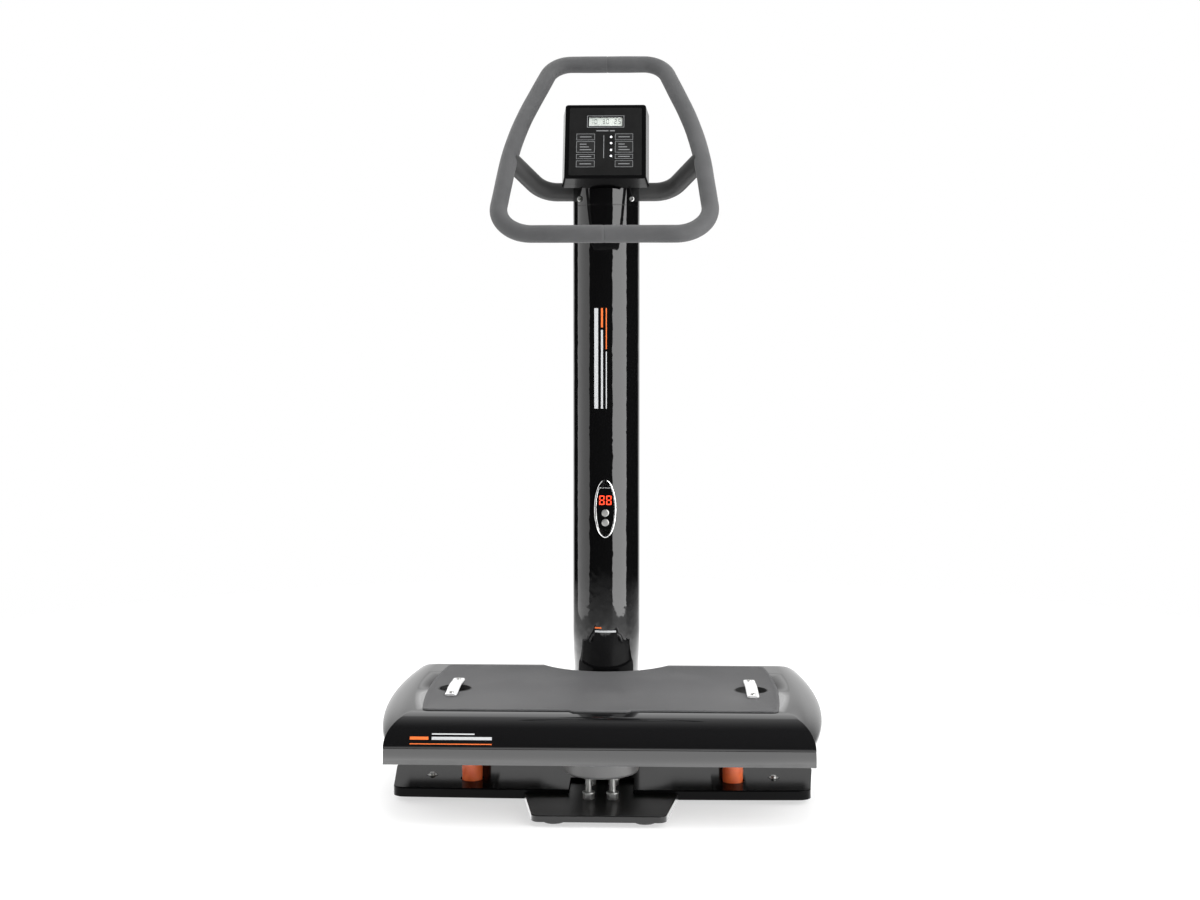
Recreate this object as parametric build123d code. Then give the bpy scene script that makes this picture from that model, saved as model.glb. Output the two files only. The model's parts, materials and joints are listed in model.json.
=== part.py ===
from build123d import *
import os
from math import cos, hypot, radians, sin, sqrt

# A vibration plate for a gym: a low base slab, a deck that bounces on rubber dampers over a round
# exciter, and a column that carries the handlebar and the console.
# Millimetres. +Z is up, +Y points from the user to the back, the floor is Z = 0 and the origin is
# the middle of the footprint.

# ---- driving dimensions --------------------------------------------------------------------------

OVERALL_DEPTH = 740.0          # front of the deck lip to the back of the transport wheels

FOOT_HEIGHT = 10.0
BASE_PLATE_THICK = 12.0
BASE_COVER_TOP = 29.0
BASE_FRONT = 148.0             # distances named FRONT, REAR or BACK are measured from the deck lip
BASE_BOW = 7.0
BASE_FRONT_HALF = 399.0
BASE_HALF = 416.0
BASE_FLARE_AT = 300.0
BASE_TAPER_AT = 520.0
BASE_REAR = 684.0
BASE_REAR_HALF = 250.0
BASE_CORNER = 24.0
TONGUE_ROOT_HALF = 151.0
TONGUE_TIP_HALF = 122.0
TONGUE_CORNER = 16.0

DECK_BOTTOM = 113.0
DECK_LIP = 29.0
DECK_HEIGHT = 84.0
DECK_FRONT_HALF = 394.0
DECK_WIDE_HALF = 435.5
DECK_WIDE_AT = 290.0
DECK_REAR_HALF = 421.0
DECK_REAR = 500.0
DECK_WALL = 4.0
FRONT_ROUND = 66.0             # run of the curved front from the lip to the flat top
SIDE_ROUND = 66.0
REAR_ROUND = 20.0
LIP_STEP = 1.5
DECK_NOTCH_HALF = 142.0
DECK_NOTCH_FRONT = 412.0

MAT_THICK = 3.0
MAT_FRONT = 68.0
MAT_REAR = 461.0
MAT_FRONT_HALF = 331.0
MAT_WIDE_HALF = 343.0
MAT_REAR_HALF = 330.0
MAT_CORNER = 12.0
MAT_TAB_HALF = 58.0
MAT_TAB_DEPTH = 9.0
MAT_NOTCH_HALF = 125.0
MAT_NOTCH_FRONT = 402.0

STRAP_X = 291.0
STRAP_AT = 243.0
STRAP_CUP_R = 33.0
STRAP_CUP_DEPTH = 20.0
STRAP_CUP_WALL = 2.0
STRAP_BAR_WIDTH = 23.0
STRAP_BAR_LENGTH = 143.0
STRAP_BAR_THICK = 4.0
STRAP_BAR_RISE = 3.0
STRAP_END = 12.0               # from a bar's end to its screw
STRAP_SCREW_R = 2.5

DAMPER_X = 254.0
DAMPER_ROWS = (215.0, 385.0)
DAMPER_R = 20.0
DAMPER_TOP = 76.0
DECK_STROKE = 3.0              # most the deck moves up or down from rest

EXCITER_AT = 156.0
EXCITER_R = 71.7
EXCITER_BOTTOM = 63.0
EXCITER_TOP = 107.0
EXCITER_STUD_X = 22.5
EXCITER_STUD_STEP = 47.0
STUD_R = 6.0

COLUMN_HALF = 70.5
COLUMN_FRONT = 426.0
COLUMN_ROUND = 80.0            # depth of the half-elliptic front
COLUMN_SIDE_END = 540.0
COLUMN_REAR = 576.0
COLUMN_REAR_HALF = 45.0
COLUMN_WALL = 4.0
COLUMN_TOP = 1164.0
HEAD_TOP = 1222.0

BOW_R = 19.5
BOW_WALL = 3.0
BOW_BACK = 508.0
BOW_HEIGHT = 1196.5
BOW_CORNER_X = 134.0
BOW_BEND = 60.0

LOOP_FRONT = 300.0             # bottom bar of the handlebar loop
LOOP_BOTTOM = 1096.0
LOOP_RUN = 320.0               # from the bottom bar back to the top bar
LOOP_RISE = 387.5
LOOP_BOTTOM_HALF = 220.5
LOOP_KNEE_HALF = 194.0
LOOP_KNEE_UP = 277.0
LOOP_TOP_HALF = 117.5
LOOP_BOTTOM_BEND = 70.0
LOOP_KNEE_BEND = 900.0
LOOP_TOP_BEND = 55.0
FOAM_R = 17.8
LOOP_TUBE_R = 12.5
LOOP_TUBE_WALL = 2.0
BOW_JOIN_UP = 212.0            # how far up the loop's plane the bow tube joins it

CONSOLE_FRONT = 400.0          # bottom edge of the console's face
CONSOLE_BOTTOM = 1215.0
CONSOLE_TILT = 22.7
CONSOLE_FACE_W = 168.0
CONSOLE_FACE_H = 173.0
CONSOLE_BACK_W = 180.0
CONSOLE_BACK_H = 176.0
CONSOLE_THICK = 38.0
CONSOLE_SPLIT = 22.0
CONSOLE_WALL = 3.0
LCD_W = 69.0
LCD_H = 21.0
LCD_UP = 133.0

OVAL_HEIGHT = 534.0
OVAL_HALF_W = 23.0
OVAL_HALF_H = 61.0
OVAL_BUTTON_R = 7.5
BUTTON_TRAVEL = 0.8
UP_BUTTON_Z = 525.5
DOWN_BUTTON_Z = 505.5
DIGITS_Z = 552.0

WHEEL_R = 25.0
WHEEL_WIDTH = 22.0
WHEEL_X = 190.0
WHEEL_AXLE_R = 5.0
WHEEL_LIFT = 3.0               # gap between the wheels and the floor while the machine stands level
BRACKET_THICK = 4.0
BRACKET_FOOT = 26.0
EAR_R = 11.0
EAR_CLEARANCE = 1.5

RUNNING_GAP = 0.05             # radial clearance between a shaft and what turns or slides on it
SEAT_GAP = 0.1                 # radial clearance of a screw or tube in its hole

# ---- heights and places worked out from them -----------------------------------------------------

FRONT_Y = -OVERALL_DEPTH / 2
PLATE_TOP = FOOT_HEIGHT + BASE_PLATE_THICK
LIP_TOP = DECK_BOTTOM + DECK_LIP
DECK_TOP = DECK_BOTTOM + DECK_HEIGHT
SKIN_UNDER = DECK_TOP - DECK_WALL
MAT_TOP = DECK_TOP + MAT_THICK
WHEEL_AT = OVERALL_DEPTH - WHEEL_R
WHEEL_AXLE_Z = WHEEL_R + WHEEL_LIFT


def back(distance):
    """Y of a point the given distance behind the deck's front lip."""
    return FRONT_Y + distance


# ---- small helpers -------------------------------------------------------------------------------

def block(x_low, x_high, y_low, y_high, z_low, z_high):
    size = (x_high - x_low, y_high - y_low, z_high - z_low)
    middle = ((x_low + x_high) / 2, (y_low + y_high) / 2, (z_low + z_high) / 2)
    return Pos(*middle) * Box(*size)


def rod(start, end, radius):
    """Round bar between two points."""
    axis = Vector(*end) - Vector(*start)
    return extrude(Plane(origin=start, z_dir=axis) * Circle(radius), amount=axis.length)


def upright(x, y, z_low, z_high, radius):
    return rod((x, y, z_low), (x, y, z_high), radius)


def pipe(x, y, z_low, z_high, outer, inner):
    return upright(x, y, z_low, z_high, outer) - upright(x, y, z_low, z_high, inner)


def hexagon(x, y, z_low, z_high, across):
    face = Plane(origin=(x, y, z_low)) * RegularPolygon(across / 2, 6, major_radius=False)
    return extrude(face, amount=z_high - z_low)


def hex_bolt(x, y, z_tip, z_seat, z_head, radius):
    """Bolt with its shank from z_tip to z_seat and its hexagon head from z_seat to z_head."""
    low, high = sorted((z_tip, z_seat))
    head_low, head_high = sorted((z_seat, z_head))
    return upright(x, y, low, high, radius) + hexagon(x, y, head_low, head_high, radius * 3.25)


def pan_screw(start, direction, length, radius):
    """Screw whose round head stands on start and whose shank runs along direction."""
    along = Vector(*direction).normalized()
    seat = Vector(*start)
    head = rod(tuple(seat - along * radius), tuple(seat), radius * 1.9)
    rims = head.edges().filter_by(GeomType.CIRCLE).sort_by_distance(seat - along * radius)
    head = fillet(rims[0], radius * 0.6)
    return head + rod(tuple(seat), tuple(seat + along * length), radius)


def circle_through(first, second, third):
    """Centre and radius of the circle through three plan points."""
    (ax, ay), (bx, by), (cx, cy) = first, second, third
    twice_area = 2 * (ax * (by - cy) + bx * (cy - ay) + cx * (ay - by))
    a_square, b_square, c_square = ax ** 2 + ay ** 2, bx ** 2 + by ** 2, cx ** 2 + cy ** 2
    centre_x = (a_square * (by - cy) + b_square * (cy - ay) + c_square * (ay - by)) / twice_area
    centre_y = (a_square * (cx - bx) + b_square * (ax - cx) + c_square * (bx - ax)) / twice_area
    return centre_x, centre_y, hypot(ax - centre_x, ay - centre_y)


def both_sides(solid):
    """The solid and its mirror image across the middle."""
    return [solid, mirror(solid, about=Plane.YZ)]


def solids_of(shapes):
    found = []
    for shape in shapes if isinstance(shapes, (list, tuple)) else [shapes]:
        found.extend(shape.solids())
    return found


def save(node, shapes):
    """Write one named node, with its solids kept separate."""
    solids = solids_of(shapes)
    part = solids[0] if len(solids) == 1 else Compound(children=solids)
    part.label = node
    export_step(part, f"parts/{node}.step")
    print(node, len(solids), [round(v) for v in part.bounding_box().size])


# ---- base ----------------------------------------------------------------------------------------

def base_outline(inset):
    """Plan of the slab: a slightly bowed front, flared sides and a narrower back."""
    front_y = back(BASE_FRONT) + inset
    half_front = BASE_FRONT_HALF - inset
    half = BASE_HALF - inset
    half_rear = BASE_REAR_HALF - inset
    rear_y = back(BASE_REAR) - inset
    right = [
        (half_front, front_y),
        (half, back(BASE_FLARE_AT)),
        (half, back(BASE_TAPER_AT)),
        (half_rear, rear_y),
    ]
    left = [(-x, y) for x, y in reversed(right)]
    sides = Polyline(*right, *left)
    bow = ThreePointArc(left[-1], (0, front_y - BASE_BOW), right[0])
    face = make_face([sides, bow])
    return fillet(face.vertices(), BASE_CORNER)


def tongue_outline(inset, grow=0.0):
    tip = TONGUE_TIP_HALF - inset + grow
    root = TONGUE_ROOT_HALF - inset + grow
    root_y = back(BASE_FRONT + BASE_CORNER)
    tip_y = back(0) + inset - grow
    face = make_face(Polyline((-root, root_y), (-tip, tip_y), (tip, tip_y), (root, root_y), close=True))
    return fillet(face.vertices().group_by(Axis.Y)[0], TONGUE_CORNER)


COVER_WALL = 3.0
COVER_CUT_HALF = 62.0
FLANGE_HALF = 100.0
FLANGE_FRONT = 405.0
FLANGE_REAR = 605.0
FLANGE_THICK = 12.0
FLANGE_BOLT_X = 85.0
FLANGE_BOLT_ROWS = (420.0, 590.0)
CORNER_FEET = [(335.0, 235.0), (335.0, 520.0)]
TONGUE_FOOT = (84.0, 42.0)
DAMPER_PLACES = [(DAMPER_X, row) for row in DAMPER_ROWS]
EXCITER_STUDS = [
    (side * EXCITER_STUD_X, EXCITER_AT + step * EXCITER_STUD_STEP)
    for side in (-1, 1)
    for step in (-1, 1)
]
DAMPER_BOLT_R = 4.0
FOOT_STUD_R = 5.0
FOOT_R = 22.0
FOOT_FLOOR = 3.0


def base_plate():
    plate = extrude(Plane.XY.offset(FOOT_HEIGHT) * base_outline(COVER_WALL + 1), BASE_PLATE_THICK)
    tongue = extrude(Plane.XY.offset(FOOT_HEIGHT) * tongue_outline(0), BASE_PLATE_THICK)
    plate = plate + tongue
    plate = chamfer(plate.edges().group_by(Axis.Z)[-1], 1.5)
    holes = [upright(s * x, back(d), 0, PLATE_TOP + 1, FOOT_STUD_R + SEAT_GAP)
             for s in (-1, 1) for x, d in CORNER_FEET]
    holes += [upright(s * TONGUE_FOOT[0], back(TONGUE_FOOT[1]), 0, PLATE_TOP - 3, FOOT_STUD_R + SEAT_GAP)
              for s in (-1, 1)]
    holes += [upright(s * x, back(d), 0, PLATE_TOP + 1, DAMPER_BOLT_R + SEAT_GAP)
              for s in (-1, 1) for x, d in DAMPER_PLACES]
    holes += [upright(x, back(d), 0, PLATE_TOP + 1, STUD_R + SEAT_GAP) for x, d in EXCITER_STUDS]
    holes += [upright(s * FLANGE_BOLT_X, back(d), 0, PLATE_TOP + 1, STUD_R + SEAT_GAP)
              for s in (-1, 1) for d in FLANGE_BOLT_ROWS]
    return plate - holes


def base_cover():
    bottom = FOOT_HEIGHT + 1
    outer = extrude(Plane.XY.offset(bottom) * base_outline(0), BASE_COVER_TOP - bottom)
    outer = fillet(outer.edges().group_by(Axis.Z)[-1], 2.5)
    inner_top = BASE_COVER_TOP - COVER_WALL
    inner = extrude(Plane.XY.offset(bottom) * base_outline(COVER_WALL), inner_top - bottom)
    tongue_gap = extrude(Plane.XY.offset(bottom) * tongue_outline(0, 1.0), PLATE_TOP + 0.5 - bottom)
    drum_gap = block(-COVER_CUT_HALF, COVER_CUT_HALF, back(BASE_FRONT - 20),
                     back(EXCITER_AT + EXCITER_STUD_STEP + 22), bottom, BASE_COVER_TOP + 1)
    flange_gap = block(-FLANGE_HALF - 2, FLANGE_HALF + 2, back(FLANGE_FRONT - 2),
                       back(FLANGE_REAR + 2), bottom, BASE_COVER_TOP + 1)
    damper_gaps = [upright(s * x, back(d), bottom, BASE_COVER_TOP + 1, DAMPER_R + 3)
                   for s in (-1, 1) for x, d in DAMPER_PLACES]
    stud_gaps = [upright(s * x, back(d), bottom, BASE_COVER_TOP + 1, 11)
                 for s in (-1, 1) for x, d in CORNER_FEET]
    return outer - inner - tongue_gap - drum_gap - flange_gap - damper_gaps - stud_gaps


def levelling_feet():
    pads = []
    for x, d in CORNER_FEET + [TONGUE_FOOT]:
        pad = upright(x, back(d), 0, FOOT_HEIGHT, FOOT_R)
        pad -= upright(x, back(d), FOOT_FLOOR, FOOT_HEIGHT, FOOT_STUD_R + SEAT_GAP)
        pad = chamfer(pad.edges().group_by(Axis.Z)[0], 1.5)
        pads += both_sides(pad)
    return pads


def foot_studs():
    """Threaded studs: the corner ones end in a nut, the two under the tongue are blind."""
    studs = []
    for x, d in CORNER_FEET:
        stud = upright(x, back(d), FOOT_FLOOR + 0.2, PLATE_TOP + 12, FOOT_STUD_R)
        nut = hexagon(x, back(d), PLATE_TOP, PLATE_TOP + 8, 17)
        studs += both_sides(stud + nut)
    x, d = TONGUE_FOOT
    studs += both_sides(upright(x, back(d), FOOT_FLOOR + 0.2, PLATE_TOP - 3.2, FOOT_STUD_R))
    return studs


def wheel_brackets():
    """A plate screwed on the slab with two ears that hold the axle behind it."""
    ear_gap = WHEEL_WIDTH / 2 + EAR_CLEARANCE
    half_thick = BRACKET_THICK / 2
    foot_top = BASE_COVER_TOP + BRACKET_THICK
    y = back(WHEEL_AT)
    brackets = []
    for side in (-1, 1):
        x = side * WHEEL_X
        reach = ear_gap + BRACKET_THICK
        bracket = block(x - reach, x + reach, back(BASE_REAR - BRACKET_FOOT), back(BASE_REAR + 3),
                        BASE_COVER_TOP, foot_top)
        for ear_side in (-1, 1):
            ear_x = x + ear_side * (ear_gap + half_thick)
            bracket += rod((ear_x - half_thick, y, WHEEL_AXLE_Z), (ear_x + half_thick, y, WHEEL_AXLE_Z),
                           EAR_R)
            bracket += block(ear_x - half_thick, ear_x + half_thick, back(BASE_REAR + 1), y,
                             WHEEL_AXLE_Z - EAR_R + 2, foot_top)
        bore_end = reach + 1
        bracket -= rod((x - bore_end, y, WHEEL_AXLE_Z), (x + bore_end, y, WHEEL_AXLE_Z),
                       WHEEL_AXLE_R + SEAT_GAP)
        brackets.append(bracket)
    return brackets


AXLE_HEAD = 3.0
DISH_DEPTH = 4.0
TYRE_WALL = 7.0
HUB_WALL = 5.0


def wheel_axles():
    reach = WHEEL_WIDTH / 2 + EAR_CLEARANCE + BRACKET_THICK + 1.5
    axles = []
    for side in (-1, 1):
        x = side * WHEEL_X
        y, z = back(WHEEL_AT), WHEEL_AXLE_Z
        axle = rod((x - reach, y, z), (x + reach, y, z), WHEEL_AXLE_R)
        axle += rod((x + side * reach, y, z), (x + side * (reach + AXLE_HEAD), y, z),
                    WHEEL_AXLE_R + AXLE_HEAD)
        axles.append(axle)
    return axles


def wheel(side):
    x = side * WHEEL_X
    y, z = back(WHEEL_AT), WHEEL_AXLE_Z
    half = WHEEL_WIDTH / 2
    disc = rod((x - half, y, z), (x + half, y, z), WHEEL_R)
    disc = fillet(disc.edges(), 3)
    for face_side in (-1, 1):
        floor_x = x + face_side * (half - DISH_DEPTH)
        disc -= rod((floor_x, y, z), (x + face_side * (half + 1), y, z), WHEEL_R - TYRE_WALL)
        disc += rod((floor_x, y, z), (x + face_side * half, y, z), WHEEL_AXLE_R + HUB_WALL)
    return disc - rod((x - WHEEL_WIDTH, y, z), (x + WHEEL_WIDTH, y, z), WHEEL_AXLE_R + RUNNING_GAP)


# ---- exciter -------------------------------------------------------------------------------------

HOUSING_FLOOR = 9.0
CABLE_R = 3.5
CABLE_Z = 40.0                 # height of the cable along the slab
CABLE_EXIT_Z = 84.0            # height at which it leaves the drum
HOUSING_WALL = 7.0
CORE_R = 26.0
ARMATURE_GAP = 5.0
ARMATURE_THICK = 12.0
ARMATURE_BOTTOM = EXCITER_TOP + ARMATURE_GAP


def exciter_housing():
    y = back(EXCITER_AT)
    drum = upright(0, y, EXCITER_BOTTOM, EXCITER_TOP, EXCITER_R)
    drum = fillet(drum.edges().group_by(Axis.Z)[0], 6)
    drum = chamfer(drum.edges().group_by(Axis.Z)[-1], 1.5)
    drum -= upright(0, y, EXCITER_BOTTOM + HOUSING_FLOOR, EXCITER_TOP + 1, EXCITER_R - HOUSING_WALL)
    drum -= [upright(x, back(d), EXCITER_BOTTOM - 1, EXCITER_BOTTOM + HOUSING_FLOOR + 1, STUD_R + SEAT_GAP)
             for x, d in EXCITER_STUDS]
    drum -= rod((0, y + EXCITER_R - 20, CABLE_EXIT_Z), (0, y + EXCITER_R + 2, CABLE_EXIT_Z), CABLE_R + 1.5)
    return drum


def exciter_core():
    y = back(EXCITER_AT)
    core = upright(0, y, EXCITER_BOTTOM + HOUSING_FLOOR, EXCITER_TOP, CORE_R)
    return chamfer(core.edges().group_by(Axis.Z)[-1], 1.5)


def exciter_coil():
    bottom = EXCITER_BOTTOM + HOUSING_FLOOR + 12
    coil = pipe(0, back(EXCITER_AT), bottom, EXCITER_TOP - 5, EXCITER_R - HOUSING_WALL - 4, CORE_R + 1)
    return fillet(coil.edges(), 3)


def exciter_studs():
    return [upright(x, back(d), FOOT_HEIGHT + 1, EXCITER_BOTTOM + HOUSING_FLOOR + 10, STUD_R)
            for x, d in EXCITER_STUDS]


def exciter_nuts():
    """A nut and a washer on the base plate and a nut inside the drum on each stud."""
    nuts = []
    for x, d in EXCITER_STUDS:
        hole = upright(x, back(d), 0, EXCITER_TOP, STUD_R + SEAT_GAP)
        low_nut = hexagon(x, back(d), PLATE_TOP, PLATE_TOP + 11, 19)
        washer = upright(x, back(d), PLATE_TOP + 11, PLATE_TOP + 13.5, 12)
        floor = EXCITER_BOTTOM + HOUSING_FLOOR
        nuts += [low_nut - hole, washer - hole, hexagon(x, back(d), floor, floor + 9, 19) - hole]
    return nuts


def armature_plate():
    y = back(EXCITER_AT)
    disc = upright(0, y, ARMATURE_BOTTOM, ARMATURE_BOTTOM + ARMATURE_THICK, EXCITER_R - 4)
    disc = chamfer(disc.edges().group_by(Axis.Z)[0], 2)
    return disc - [upright(side * ARMATURE_SCREW_X, y, 0, DECK_TOP, ARMATURE_SCREW_R + SEAT_GAP)
                   for side in (-1, 1)]


def armature_screws():
    return [hex_bolt(side * ARMATURE_SCREW_X, back(EXCITER_AT), RAIL_BOTTOM + RAIL_WALL, ARMATURE_BOTTOM,
                     ARMATURE_BOTTOM - ARMATURE_SCREW_R, ARMATURE_SCREW_R) for side in (-1, 1)]


def exciter_cable():
    """Lead from the drum back to the foot of the column, lying on the base cover."""
    y = back(EXCITER_AT) + EXCITER_R
    path = Polyline((0, y - HOUSING_WALL - 2, CABLE_EXIT_Z), (0, y + 30, CABLE_EXIT_Z), (0, y + 60, CABLE_Z),
                    (0, back(COLUMN_FRONT) + 60, CABLE_Z))
    path = fillet(path.vertices().sort_by(Axis.Y)[1:3], 14)
    return swept(path, CABLE_R)


# ---- deck ----------------------------------------------------------------------------------------

FRAME_PAD_TOP = 80.0
SIDE_RAIL_HALF = 30.0
SIDE_RAIL_FRONT = 140.0
SIDE_RAIL_REAR = 430.0
RAIL_BOTTOM = 130.0
RAIL_WALL = 3.0
BOARD_THICK = 16.0
BOARD_HALF = 329.0
BOARD_FRONT = 78.0
BOARD_REAR = 400.0
BOARD_BOTTOM = SKIN_UNDER - BOARD_THICK
CROSS_RAILS = ((EXCITER_AT - 25, EXCITER_AT + 25), (340.0, 390.0))
CROSS_RAIL_HALF = 320.0
BOARD_SCREW_R = 3.0
ARMATURE_SCREW_X = 40.0
ARMATURE_SCREW_R = 4.0
CARRIER_HALF = 55.0


def deck_block(inset):
    """The deck's outer body, or the hollow inside it when inset is the wall thickness."""
    top = DECK_TOP - inset
    bottom = DECK_BOTTOM - (1 if inset else 0)
    centre_x, centre_at, radius = circle_through(
        (DECK_FRONT_HALF, 0), (DECK_WIDE_HALF, DECK_WIDE_AT), (DECK_REAR_HALF, DECK_REAR))
    rim = radius - inset
    shoulder = radius - SIDE_ROUND
    curve_height = DECK_HEIGHT - DECK_LIP - inset
    outline = [
        Polyline((shoulder, top), (0, top), (0, bottom), (rim, bottom), (rim, LIP_TOP)),
        EllipticalCenterArc((shoulder, LIP_TOP), SIDE_ROUND - inset, curve_height,
                            start_angle=0, arc_size=90),
    ]
    turning = Plane(origin=(centre_x, back(centre_at), 0), x_dir=(1, 0, 0), z_dir=(0, -1, 0))
    right = revolve(turning * make_face(outline), Axis((centre_x, back(centre_at), 0), (0, 0, 1)))
    left = mirror(right, about=Plane.YZ)

    front_start = LIP_STEP + inset
    profile = [
        EllipticalCenterArc((FRONT_ROUND, LIP_TOP), FRONT_ROUND - front_start, curve_height,
                            start_angle=90, arc_size=90),
        Polyline((front_start, LIP_TOP), (inset, LIP_TOP), (inset, bottom),
                 (DECK_REAR - inset, bottom), (DECK_REAR - inset, DECK_TOP - REAR_ROUND)),
        CenterArc((DECK_REAR - REAR_ROUND, DECK_TOP - REAR_ROUND), REAR_ROUND - inset, 0, 90),
        Line((DECK_REAR - REAR_ROUND, top), (FRONT_ROUND, top)),
    ]
    lengthwise = Plane(origin=(-500, back(0), 0), x_dir=(0, 1, 0), z_dir=(1, 0, 0))
    middle = extrude(lengthwise * make_face(profile), amount=1000)
    body = middle & right & left

    notch_depth = DECK_REAR - DECK_NOTCH_FRONT
    notch_r = (DECK_NOTCH_HALF ** 2 + notch_depth ** 2) / (2 * notch_depth)
    return body - upright(0, back(DECK_NOTCH_FRONT + notch_r), 0, 300, notch_r + inset)


def deck_shell():
    shell = deck_block(0) - deck_block(DECK_WALL)
    for side in (-1, 1):
        shell -= upright(side * STRAP_X, back(STRAP_AT), SKIN_UNDER - 1, DECK_TOP + 1, STRAP_CUP_R + SEAT_GAP)
    return shell


def deck_board():
    board = block(-BOARD_HALF, BOARD_HALF, back(BOARD_FRONT), back(BOARD_REAR), BOARD_BOTTOM, SKIN_UNDER)
    board = fillet(board.edges().filter_by(Axis.Z), 20)
    for side in (-1, 1):
        board -= upright(side * STRAP_X, back(STRAP_AT), BOARD_BOTTOM - 1, SKIN_UNDER + 1,
                         STRAP_CUP_R + SEAT_GAP)
    return board - [upright(x, y, BOARD_BOTTOM - 1, SKIN_UNDER + 1, BOARD_SCREW_R + SEAT_GAP)
                    for x, y in board_screw_places()]


def board_screw_places():
    return [(s * 200, back((low + high) / 2)) for s in (-1, 1) for low, high in CROSS_RAILS]


def board_screws():
    """Countersunk screws through the board into the cross rails."""
    return [upright(x, y, BOARD_BOTTOM - 12, SKIN_UNDER - 1, BOARD_SCREW_R) for x, y in board_screw_places()]


def box_tube(x_low, x_high, y_low, y_high, z_low, z_high, along):
    """Square steel tube with its hollow running along x or y."""
    outer = block(x_low, x_high, y_low, y_high, z_low, z_high)
    outer = fillet(outer.edges().filter_by(Axis.X if along == "x" else Axis.Y), 4)
    wall = RAIL_WALL
    if along == "x":
        hollow = block(x_low - 1, x_high + 1, y_low + wall, y_high - wall, z_low + wall, z_high - wall)
    else:
        hollow = block(x_low + wall, x_high - wall, y_low - 1, y_high + 1, z_low + wall, z_high - wall)
    return outer - hollow


def deck_frame():
    frame = None
    for low, high in CROSS_RAILS:
        rail = box_tube(-CROSS_RAIL_HALF, CROSS_RAIL_HALF, back(low), back(high),
                        RAIL_BOTTOM, BOARD_BOTTOM, "x")
        frame = rail if frame is None else frame + rail
    for side in (-1, 1):
        x = side * DAMPER_X
        frame += box_tube(x - SIDE_RAIL_HALF, x + SIDE_RAIL_HALF, back(SIDE_RAIL_FRONT),
                          back(SIDE_RAIL_REAR), FRAME_PAD_TOP, RAIL_BOTTOM, "y")
        for row in DAMPER_ROWS:
            frame += block(x - 35, x + 35, back(row - 30), back(row + 30), DAMPER_TOP, FRAME_PAD_TOP)
    frame += block(-CARRIER_HALF, CARRIER_HALF, back(CROSS_RAILS[0][0]), back(CROSS_RAILS[0][1]),
                   ARMATURE_BOTTOM + ARMATURE_THICK, RAIL_BOTTOM)
    holes = [upright(s * x, back(d), DAMPER_TOP - 1, FRAME_PAD_TOP + RAIL_WALL + 1, DAMPER_BOLT_R + SEAT_GAP)
             for s in (-1, 1) for x, d in DAMPER_PLACES]
    holes += [upright(s * ARMATURE_SCREW_X, back(EXCITER_AT), ARMATURE_BOTTOM, RAIL_BOTTOM + RAIL_WALL + 1,
                      ARMATURE_SCREW_R + SEAT_GAP) for s in (-1, 1)]
    holes += [upright(x, y, BOARD_BOTTOM - RAIL_WALL - 1, BOARD_BOTTOM + 1, BOARD_SCREW_R + SEAT_GAP)
              for x, y in board_screw_places()]
    return frame - holes


def mat_outline():
    centre_x, centre_at, radius = circle_through(
        (MAT_FRONT_HALF, MAT_FRONT), (MAT_WIDE_HALF, (MAT_FRONT + MAT_REAR) / 2), (MAT_REAR_HALF, MAT_REAR))
    wide = (MAT_WIDE_HALF, back((MAT_FRONT + MAT_REAR) / 2))
    tab_y = back(MAT_FRONT - MAT_TAB_DEPTH)
    slope = MAT_TAB_DEPTH * 0.9
    front_y, rear_y = back(MAT_FRONT), back(MAT_REAR)
    edges = [
        Polyline((-MAT_FRONT_HALF, front_y), (-MAT_TAB_HALF, front_y), (-MAT_TAB_HALF + slope, tab_y),
                 (MAT_TAB_HALF - slope, tab_y), (MAT_TAB_HALF, front_y), (MAT_FRONT_HALF, front_y)),
        ThreePointArc((MAT_FRONT_HALF, front_y), wide, (MAT_REAR_HALF, rear_y)),
        Line((MAT_REAR_HALF, rear_y), (MAT_NOTCH_HALF, rear_y)),
        ThreePointArc((MAT_NOTCH_HALF, rear_y), (0, back(MAT_NOTCH_FRONT)), (-MAT_NOTCH_HALF, rear_y)),
        Line((-MAT_NOTCH_HALF, rear_y), (-MAT_REAR_HALF, rear_y)),
        ThreePointArc((-MAT_REAR_HALF, rear_y), (-wide[0], wide[1]), (-MAT_FRONT_HALF, front_y)),
    ]
    face = make_face(edges)
    corners = [v for v in face.vertices() if abs(v.X) > MAT_NOTCH_HALF + 50]
    return fillet(corners, MAT_CORNER)


def deck_mat():
    mat = extrude(Plane.XY.offset(DECK_TOP) * mat_outline(), MAT_THICK)
    mat = chamfer(mat.edges().group_by(Axis.Z)[-1], 0.8)
    for side in (-1, 1):
        mat -= upright(side * STRAP_X, back(STRAP_AT), DECK_TOP - 1, MAT_TOP + 1, STRAP_CUP_R + SEAT_GAP)
        for end in (-1, 1):
            y = back(STRAP_AT + end * (STRAP_BAR_LENGTH / 2 - STRAP_END))
            mat -= upright(side * STRAP_X, y, DECK_TOP - 1, MAT_TOP + 1, STRAP_SCREW_R + SEAT_GAP)
    return mat


def strap_cups():
    bottom = MAT_TOP - STRAP_CUP_DEPTH
    cup = upright(STRAP_X, back(STRAP_AT), bottom, MAT_TOP, STRAP_CUP_R)
    cup -= upright(STRAP_X, back(STRAP_AT), bottom + STRAP_CUP_WALL, MAT_TOP + 1,
                   STRAP_CUP_R - STRAP_CUP_WALL)
    return both_sides(cup)


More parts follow.
